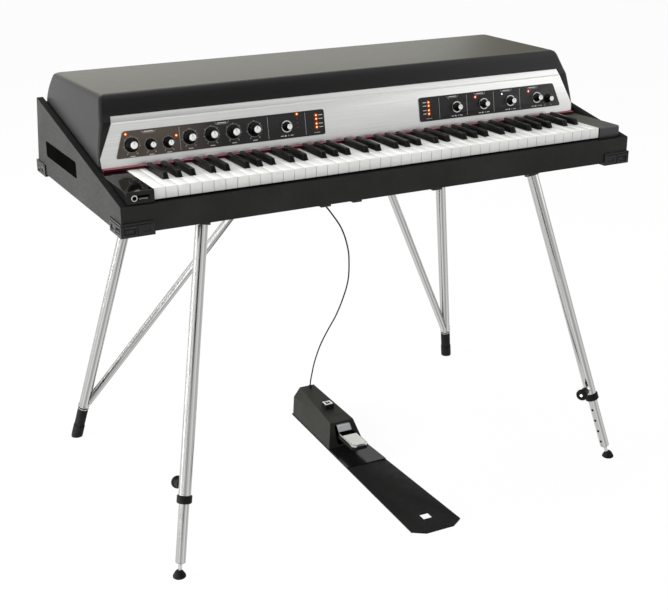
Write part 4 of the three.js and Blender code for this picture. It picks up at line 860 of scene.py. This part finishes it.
# black discs with a thin rim under the dials
def makeDials():
    discs, rims = bmesh.new(), bmesh.new()
    for x, s, radius, kind in knobSpots:
        if kind != "ring" and x < dial["last"]:
            reach = radius + dial["margin"]
            spunOnFace(discs, rodProfile(reach, 0, dial["rise"]), x, s)
            spunOnFace(rims, ringed(reach, reach + dial["rim"], 0, dial["rimRise"]), x, s)
    addPiece(discs, "dial_discs", knobPlastic)
    addPiece(rims, "dial_rims", dimInk)


def addMark(bm, x, s, width, height, turn=0.0):
    thick = marks["thick"]
    addBar(bm, onFace(x, s, plateTop, turn) @ Matrix.Translation((0, 0, marks["lift"] * thick * mm)), width, height,
           thick)


# plain numbers on the dials
def addNumber(bm, text, x, s, size=marks["numberSize"]):
    figure = bpy.data.curves.new("number", "FONT")
    figure.body, figure.size, figure.extrude = text, size * mm, marks["numberThick"] * mm
    figure.align_x = figure.align_y = "CENTER"
    thing = addObject("number", figure)
    mesh = evaluated(thing)
    mesh.transform(onFace(x, s, plateTop + marks["numberLift"]))
    bm.from_mesh(mesh)
    bpy.data.objects.remove(thing)


def addDialMarks(strong, dim, figures, x, s, radius, kind):
    m, reach = marks, radius + marks["tickGap"]
    count, step, longEvery = m["ticks"][kind]
    for i in range(count):
        angle = radians(m["start"] + step * i)
        long = i % longEvery == 0
        addMark(strong if long else dim, x + reach * sin(angle), s + reach * cos(angle),
                *m["longTick" if long else "shortTick"], -degrees(angle))
    for text, turn in (("0", m["start"]), ("10", -m["start"])):
        addNumber(figures, text, x + (reach + m["numberGap"][0]) * sin(radians(turn)),
                  s + (reach + m["numberGap"][1]) * cos(radians(turn)))
    addMark(strong, x, s - radius - m["nameDrop"], *m["name"])


def makeMarks():
    m = marks
    strong, dim, figures = bmesh.new(), bmesh.new(), bmesh.new()
    for x in m["dividers"]:
        addMark(dim, x, *m["divider"])
    for x, s, radius, kind in knobSpots:
        if kind != "ring":
            addDialMarks(strong, dim, figures, x, s, radius, kind)
            continue
        for across, width, height in m["ringRow"]:
            addMark(strong, x + across, s - m["ringDrop"], width, height)
        addNumber(figures, "0", x + m["ringNumber"][0], s - m["ringDrop"], m["ringNumber"][1])
    across, s, width, height, lean = m["headEnd"]
    for x in m["heads"]:
        addMark(strong, x, *m["head"])
        addMark(dim, x, *m["headLine"])
        for side in (-1, 1):
            addMark(dim, x + side * across, s, width, height, side * lean)
    for column, away in m["columns"]:
        for s in m["levels"]:
            addMark(strong, column + away, s, *m["label"])
        addMark(dim, column, *m["foot"])
    addPiece(strong, "printed_marks", whiteInkAndHighlight)
    addPiece(dim, "printed_lines", dimInk)
    addPiece(figures, "printed_numbers", whiteInkAndHighlight)


makeDials()
makeLamps()
makeHaloes()
makeMarks()
print("panel done")

# keyboard; a shift moves a black key away from the gap between its white keys, in parts of a white key
keys = dict(whites=43, pitch=23.5, front=15, top=76, height=21.5, gap=1, head=49, rear=385, blackFront=65,
            blackWidth=12, blackTopWidth=9.4, blackRise=12, blackSlope=6, blackSink=2, blackEdge=1.5, clearance=1.1,
            blackEnd=157, firstMoving=19, moving=7, firstLetter=2, edge=0.9, edgeAngle=0.5, reach=1e-6,
            shifts={0: -0.106, 1: 0.106, 3: -0.149, 4: 0, 5: 0.149})
letters = "cdefgab"
keyboardLeft = -keys["whites"] * keys["pitch"] / 2


def letterOf(white):
    return (white + keys["firstLetter"]) % len(letters)


def hasSharp(white):
    return 0 <= white < keys["whites"] - 1 and letterOf(white) in keys["shifts"]


def sharpX(white):
    return keyboardLeft + (white + 1 + keys["shifts"][letterOf(white)]) * keys["pitch"]


def addWhiteKey(bm, white):
    k = keys
    left = keyboardLeft + white * k["pitch"] + k["gap"] / 2
    right = left + k["pitch"] - k["gap"]
    reach = k["blackWidth"] / 2 + k["clearance"]
    tailLeft = sharpX(white - 1) + reach if hasSharp(white - 1) else left
    tailRight = sharpX(white) - reach if hasSharp(white) else right
    headEnd = k["front"] + k["head"]
    plan = [(left, k["front"]), (right, k["front"])]
    if tailRight < right:
        plan += [(right, headEnd), (tailRight, headEnd)]
    plan += [(tailRight, k["rear"]), (tailLeft, k["rear"])]
    if tailLeft > left:
        plan += [(tailLeft, headEnd), (left, headEnd)]
    start = set(bm.verts)
    prism(bm, [inCase(x, y, k["top"] - k["height"]) for x, y in plan], (0, 0, k["height"] * mm))
    top = case["bottom"] + k["top"] * mm
    fresh = dict.fromkeys(e for v in bm.verts if v not in start for e in v.link_edges)
    rim = [e for e in fresh if e.is_manifold and any(abs(v.co.z - top) < k["reach"] for v in e.verts)
           and e.calc_face_angle(0) > k["edgeAngle"]]
    bevelParts(bm, rim, k["edge"], 3)


def addBlackKey(bm, white):
    k, x = keys, sharpX(white)
    half, low, foot = k["blackWidth"] / 2, k["top"] - k["height"], k["top"] - k["blackSink"]
    addBox(bm, inCase(x - half, k["blackFront"], low), inCase(x + half, k["rear"], foot))
    cap = bmesh.new()
    for v in bmesh.ops.create_cube(cap, size=1)["verts"]:
        up, back = v.co.z > 0, v.co.y > 0
        wide = k["blackTopWidth"] / 2 if up else half
        y = k["blackEnd"] if back else k["blackFront"] + (k["blackSlope"] if up else 0)
        v.co = inCase(x + copysign(wide, v.co.x), y, k["top"] + k["blackRise"] if up else foot)
    level = inCase(0, 0, k["top"]).z
    bevelParts(cap, [e for e in cap.edges if any(v.co.z > level for v in e.verts)], k["blackEdge"], 4)
    mesh = bpy.data.meshes.new("cap")
    cap.to_mesh(mesh)
    cap.free()
    bm.from_mesh(mesh)
    bpy.data.meshes.remove(mesh)


# the keys of one octave move by themselves, the others stand in two pieces
def makeKeys():
    whites, blacks = bmesh.new(), bmesh.new()
    for white in range(keys["whites"]):
        node = f"key_{letters[letterOf(white)]}"
        moving = 0 <= white - keys["firstMoving"] < keys["moving"]
        bm = bmesh.new() if moving else whites
        addWhiteKey(bm, white)
        if moving:
            addPiece(bm, node.replace("key", "white"), ivoryWhite, "key_white", node, [node])
        if hasSharp(white):
            bm = bmesh.new() if moving else blacks
            addBlackKey(bm, white)
            if moving:
                addPiece(bm, node.replace("key", "black"), ebonyBlack, "key_black", f"{node}_sharp",
                         [f"{node}_sharp"], fix=False)
    addPiece(whites, "white_keys", ivoryWhite, "key_white")
    addPiece(blacks, "black_keys", ebonyBlack, "key_black", fix=False)


makeKeys()
keyBed = dict(edge=1, ridgeEdge=0.4, feltEdge=0.8, feltFacing=-0.5,
              frontRail=[((-502.8, 36, 12.3), (502.8, 76, 44))],
              ridge=[((-503, 240.5, 49.6), (503, 243.5, 54.2))],
              rails=[((-503, 224, 12.3), (503, 260, 49.7)), ((-503, 361, 12.3), (503, 385, 54.2)),
                     ((-503, 36, 12.3), (-489, 385, 26.3)), ((489, 36, 12.3), (503, 385, 26.3))])


def makeKeyBed():
    k = keyBed
    addPiece(caseBoxes(k["frontRail"], k["edge"]), "key_front_rail", blackBoard, "board", fix=False)
    addPiece(caseBoxes(k["rails"], k["edge"]), "key_bed", lacquer, "action_wood", stands=["key_frame"], fix=False)
    addPiece(caseBoxes(k["ridge"], k["ridgeEdge"]), "balance_ridge", harpMetal, "harp_metal", fix=False)


makeKeyBed()
feltStrip = dress("key_felt", "felt_strip", felt, "felt", bevel=keyBed["feltEdge"])
# faces that look to the front get the darker felt, which is painted shade
paintFaces(feltStrip, shadedFelt, lambda middle, normal: normal.y < keyBed["feltFacing"])
print("keyboard done")

# cheek blocks; the left one has a jack and a slot with a slider
cheek = dict(edge=0.7, rightEdge=0.8, topFacing=0.9, jack=(-545.2, 5, 64), jackRing=(4.2, 5.9, -0.5, 1.05, 0.4),
             jackMouth=(3.35, -9, -1.5), slot=[((-538.3, 4, 59.5), (-516.4, 8, 68.5))], slotEdge=1.2,
             slider=[((-536.1, 6.2, 60.4), (-518.6, 7.9, 63.2))], sliderEdge=0.4,
             slotFloor=[((-537.4, 7.88, 60.4), (-517.3, 7.98, 67.6))])


def makeCheeks():
    c = cheek
    left = dress("left_cheek_block", "left_cheek", glossBlack, "cheek_black")
    dress("right_cheek_block", "right_cheek", greyPlastic, "cheek_grey", bevel=c["rightEdge"], steps=3)
    combine(left, caseBoxes(c["slot"], c["slotEdge"], 3))
    roundEdges(left, c["edge"], 3)
    paintFaces(left, mirrorBlack, lambda middle, normal: normal.z > c["topFacing"])
    addPiece(caseBoxes(c["slider"], c["sliderEdge"]), "slider", sliderGrey, "chrome", fix=False)
    # a near-black sheet at the bottom of the slot is painted shade
    addPiece(caseBoxes(c["slotFloor"]), "slot_floor", shadeAndPrintBlack, fix=False)
    place = axisAt(inCase(*c["jack"]), (0, -1, 0))
    addPiece(turned(ringed(*c["jackRing"]), place, 32), "jack_ring", chrome, "chrome")
    # a near-black plug in the jack's opening is painted shade
    addPiece(turned(rodProfile(*c["jackMouth"]), place, 24), "jack_mouth", shadeAndPrintBlack)


makeCheeks()

# corner protectors; each carving is (near end, far end, low, high, deep) along an outer face
protector = dict(reach=577, front=-245, rear=328, edge=0.35, carvings=[
    (515, 574, 700, 702, 2), (544.1, 545.9, 680.2, 698.8, 2), (521, 536, 686.5, 693.5, 1.2),
    (549.5, 571, 684.5, 686.5, 2), (549.5, 571, 693.5, 695.5, 2), (549.5, 551.5, 686.9, 693.1, 2),
    (569, 571, 686.9, 693.1, 2)])


def makeProtector(word, end):
    p, side = protector, sides[word]
    wall, inward = p[end], 1 if end == "front" else -1
    piece = dress(f"{end}_{word}_corner", f"{end}_{word}_protector", protectorPlastic, "fitting_black")
    for across in (True, False):
        lines = bmesh.new()
        for near, far, low, high, deep in p["carvings"]:
            if across:
                ends = (side * near, wall - inward, low), (side * far, wall + inward * deep, high)
            else:
                ends = ((side * (p["reach"] + 1), wall + inward * (p["reach"] - near), low),
                        (side * (p["reach"] - deep), wall + inward * (p["reach"] - far), high))
            addBox(lines, *(Vector([pick(pair) for pair in zip(*ends)]) * mm for pick in (min, max)))
        combine(piece, lines)
    roundEdges(piece, p["edge"])


for end in ("front", "rear"):
    for word in sides:
        makeProtector(word, end)
print("corners done")

# inner pieces keep their solids; the hammers have felt heads
hammer = dict(headY=336, reach=9, feltLow=109)


def isHammerHead(middle, normal):
    low = inCase(0, hammer["headY"], hammer["feltLow"])
    return middle.z > low.z and abs(middle.y - low.y) < hammer["reach"] * mm


for name, material in (("bottom_board", blackBoard), ("action_frame", lacquer), ("harp", harpMetal),
                       ("damper_bar", blackPlastic), ("preamp_board", boardGreen)):
    nodes[name].data.materials.clear()
    nodes[name].data.materials.append(material)
paintFaces(nodes["action_frame"], hammerFelt, isHammerHead)
print("inner pieces done")

# legs; heights are above the floor, distances run along each leg from its foot; a profile is a row of (radius,
# distance), from the place on the leg or its axis that it belongs to
legs = dict(footX=528.5, topX=382, frontFootY=-66, frontTopY=94, rearFootY=631, rearTopY=463, radius=12.6,
            inner=11, topGap=8.3)
collar = dict(height=139, tubeRise=2.5, profile=[
    (10.7, 0), (13.6, 0), (15.2, 1.6), (15.2, 14.4), (13.6, 16), (12.65, 16), (12.65, 2.4), (10.7, 2.4), (10.7, 0)])
lower = dict(radius=10.4, start=25, round=4, roundSteps=6, end=155, overlap=150, holes=[117, 91.6, 66.2, 40.8],
             hole=(3.1, 5.4, 13.4), holeFloor=(3.05, 5.5, 9.7), holeTurn={"left": 87, "right": 197},
             neckRadius=4, neckLow=10, neckSink=3,
             foot=[(0, 0), (12, 0), (13, 1), (13, 3.2), (12.3, 4.6), (8.4, 11.6), (6, 14), (0, 14)])
screw = dict(height=169, turn={"left": 87, "right": 210}, boss=[
    (3.7, 11.6), (8, 11.4), (6.9, 14), (6.5, 15.2), (6.5, 21.6), (5.5, 22.6), (3.7, 22.6), (3.7, 11.6)], body=[
    (0, 10.7), (3.2, 10.7), (3.2, 22.9), (7.8, 22.9), (9, 24.1), (9, 38.9), (10.2, 40.9), (10.4, 40.9),
    (12.8, 43.3), (12.8, 47.3), (12, 48.9), (10.2, 49.9), (4.4, 49.9), (4.2, 49.1), (0, 49.1)],
    cap=[(0, 49), (3.6, 49), (3.2, 49.8), (0, 49.9)], slotRise=14, slotEdge=0.3,
    slot=((-1.2, -3.5, 12), (1.2, 3.5, 12.72)))
rearFoot = dict(top=84, groove=34, tubeSink=6, boltRise=5.8, bolt=(3.2, 11.6, 15, 0.7),
                boltTurn={"left": 180, "right": 0}, low=[(0, -13), (11.4, -13), (13.4, 4)],
                middle=[(13.4, -3), (10.6, -1.5), (10.6, 1.5), (12.4, 3)],
                high=[(12.4, -4), (13, -3.5), (13, 0), (0, 0)],
                ring=[(12.65, 0.1), (13.1, 0.1), (13.7, 0.7), (13.7, 2), (13.1, 2.6), (12.65, 2.6), (12.65, 0.1)])
brace = dict(joinHeight=76, topX=131, topY=334)


def legAxis(word, end):
    foot = inCase(sides[word] * legs["footX"], legs[f"{end}FootY"], 0)
    top = inCase(sides[word] * legs["topX"], legs[f"{end}TopY"], 0)
    foot.z = 0
    return foot, (top - foot).normalized()


def atHeight(foot, up, height):
    return foot + up * height / up.z * mm


def raised(profile, distance):
    return [(r, z + distance) for r, z in profile]


def addUpperTube(word, end, low):
    foot, up = legAxis(word, end)
    top = case["bottom"] / mm / up.z - legs["topGap"]
    bm = markAround(turned(ringed(legs["inner"], legs["radius"], low, top), axisAt(foot, up)), foot, up)
    addPiece(bm, f"{end}_{word}_tube", tubeMetal, "chrome", stands=[f"{end}_{word}_leg"])


def makeFrontLeg(word):
    foot, up = legAxis(word, "front")
    s, low, body = screw, collar["height"] / up.z, f"{word}_clamp_screw"
    addUpperTube(word, "front", low + collar["tubeRise"])
    outward, root = squareTo(up, s["turn"][word]), atHeight(foot, up, s["height"])
    place = axisAt(root, outward)
    addPiece(turned(s["boss"], place, 32), f"front_{word}_boss", chrome, "chrome")
    addPiece(turned(raised(collar["profile"], low), axisAt(foot, up)), f"front_{word}_collar", blackPlastic,
             "fitting_black")
    facing = Matrix((outward.cross(up).normalized() * -1, up, outward)).transposed().to_4x4()
    # a near-black bar on the clamp stands for its slit: painted shade
    slotPlace = inMillimetres(Matrix.Translation(root + up * s["slotRise"] * mm) @ facing)
    addPiece(moved(box(*s["slot"], s["slotEdge"] / mm), slotPlace), f"front_{word}_slot", shadeAndPrintBlack)
    addPiece(turned(s["body"], place, 40), f"{word}_thumb_screw", blackPlastic, "fitting_black", body, [body])
    addPiece(turned(s["cap"], place, 24), f"{word}_thumb_screw_cap", capMetal, "chrome", body)


def makeLowerLeg(word):
    body = f"front_{word}_leg_extension"
    foot, up = legAxis(word, "front")
    place, w, r, bend = axisAt(foot, up), lower, lower["radius"], lower["round"]
    start, high = w["start"] / up.z, w["end"] / up.z + w["overlap"]
    profile = [(0, start), (r - bend, start)]
    for i in range(1, w["roundSteps"] + 1):
        a = radians(90 * i / w["roundSteps"])
        profile.append((r - bend + bend * sin(a), start + bend * (1 - cos(a))))
    tube = addPiece(markAround(turned(profile + [(r, high), (0, high)], place), foot, up), f"{word}_lower_tube",
                    tubeMetal, "chrome", body, [body])
    outward = squareTo(up, w["holeTurn"][word])
    spots = [axisAt(atHeight(foot, up, height), outward) for height in w["holes"]]
    combine(tube, *(turned(rodProfile(*w["hole"]), spot, 20) for spot in spots))
    # near-black discs in the holes are painted shade
    for i, spot in enumerate(spots, 1):
        addPiece(turned(rodProfile(*w["holeFloor"]), spot, 20), f"{word}_hole_{i}", shadeAndPrintBlack, body=body)
    addPiece(turned(rodProfile(w["neckRadius"], w["neckLow"], start + w["neckSink"]), place, 24),
             f"{word}_foot_neck", chrome, "chrome", body)
    addPiece(turned(w["foot"], inMillimetres(Matrix.Translation(foot)), 40), f"{word}_front_foot", rubber,
             "fitting_black", body)


def makeRearLeg(word):
    foot, up = legAxis(word, "rear")
    place, f = axisAt(foot, up), rearFoot
    top = f["top"] / up.z
    addUpperTube(word, "rear", top - f["tubeSink"])
    sleeve = turned(f["low"] + raised(f["middle"], f["groove"] / up.z) + raised(f["high"], top), place)
    flat = bmesh.ops.bisect_plane(sleeve, geom=sleeve.verts[:] + sleeve.edges[:] + sleeve.faces[:],
                                  plane_co=(0, 0, 0), plane_no=(0, 0, 1), clear_inner=True)
    bmesh.ops.contextual_create(sleeve, geom=[e for e in flat["geom_cut"] if isinstance(e, BMEdge)])
    addPiece(sleeve, f"rear_{word}_sleeve", rubber, "fitting_black")
    addPiece(turned(raised(f["ring"], top), place), f"rear_{word}_ring", chrome, "chrome")
    root = foot + up * (top + f["boltRise"]) * mm
    addPiece(turned(rodProfile(*f["bolt"]), axisAt(root, squareTo(up, f["boltTurn"][word])), 24),
             f"rear_{word}_bolt", chrome, "chrome")


def makeBrace(word):
    foot, up = legAxis(word, "rear")
    low = foot + up * (brace["joinHeight"] * mm / up.z)
    along = (inCase(sides[word] * brace["topX"], brace["topY"], 0) - low).normalized()
    addPiece(markAround(nodeCopy(f"{word}_brace"), low, along), f"{word}_brace_tube", tubeMetal, "chrome",
             stands=[f"{word}_brace"], smooth=50)


for word in sides:
    makeFrontLeg(word)
    makeLowerLeg(word)
    makeRearLeg(word)
    makeBrace(word)
print("legs done")

# pedal; places on it are (x, distance from its tip, height) in mm
pedal = dict(x=12, y=-402, turn=-0.85, toeTop=4, padTop=38.5, padEnd=411, neckLow=41, buttonY=524, buttonHalf=11.3,
             buttonLow=63.5, upFacing=0.5, neckUp=0.25, neckFront=-0.4,
             frame=[((-9.8, 514.2, 73.6), (9.8, 517, 74.6)), ((-9.8, 531, 73.6), (9.8, 533.8, 74.6)),
                    ((-9.8, 517, 73.6), (-7, 531, 74.6)), ((7, 517, 73.6), (9.8, 531, 74.6))],
             recess=[((-7, 517, 73.6), (7, 531, 73.95))],
             bars=[((-5, 519.8, 73.8), (-1, 528.2, 74.3)), ((1, 519.8, 73.8), (5, 528.2, 74.3))],
             rubber=[(-21.4, 426), (-21.4, 358.4), (-13.4, 350.4), (13.4, 350.4), (21.4, 358.4), (21.4, 426)],
             rubberLow=27, rubberRise=6.9)
pedalPlace = inMillimetres(Matrix.Translation((pedal["x"] * mm, pedal["y"] * mm, 0))
                           @ Matrix.Rotation(radians(pedal["turn"]), 4, "Z"))
toPedal = pedalPlace.inverted()


# as paintFaces, but the test gets the middle as a place on the pedal
def paintPedal(piece, material, test):
    paintFaces(piece, material, lambda middle, normal: test(toPedal @ middle, normal))


def makePedal():
    q = pedal
    base = dress("pedal_base", "pedal_plate", darkSteel, "pedal_steel", bevel=0.6)
    paintFaces(base, glossSteel, lambda middle, normal: middle.z > q["toeTop"] * mm)
    cover = dress("pedal_housing", "pedal_cover", oliveSteel, "pedal_steel", bevel=0.8, steps=3, angle=30)
    paintPedal(cover, darkSteel, lambda spot, normal: spot.z > q["buttonLow"] and abs(spot.x) < q["buttonHalf"]
               and abs(spot.y - q["buttonY"]) < q["buttonHalf"])
    tongue = dress("pedal_lever", "pedal_tongue", chrome, "chrome", body="pedal_lever", bevel=0.6)
    paintPedal(tongue, padGrey, lambda spot, normal: spot.z > q["padTop"] and spot.y < q["padEnd"]
               and normal.z > q["upFacing"])
    # the neck's faces that look up and to the front are painted light grey: a painted reflection on the chrome
    paintPedal(tongue, neckReflectionGrey, lambda spot, normal: spot.z > q["neckLow"]
               and (normal.z > q["neckUp"] or normal.y < q["neckFront"]))
    # the tongue's top between the pad and the neck is painted near-black: painted shade
    paintPedal(tongue, shadeAndPrintBlack, lambda spot, normal: spot.y > q["padEnd"] and spot.z < q["neckLow"]
               and normal.z > q["upFacing"])
    for name, material, slot in (("frame", padGrey, "chrome"), ("recess", padGrey, None),
                                 ("bars", shadeAndPrintBlack, None)):
        bm = bmesh.new()
        for low, high in q[name]:
            addBox(bm, low, high)
        addPiece(moved(bm, pedalPlace), f"pedal_button_{name}", material, slot, fix=False)
    bm = bmesh.new()
    prism(bm, [(x, y, q["rubberLow"]) for x, y in q["rubber"]], (0, 0, q["rubberRise"]))
    addPiece(moved(bm, pedalPlace), "pedal_rubber", rubber, "fitting_black", "pedal_lever", bevel=0.8)


makePedal()
print("pedal done")
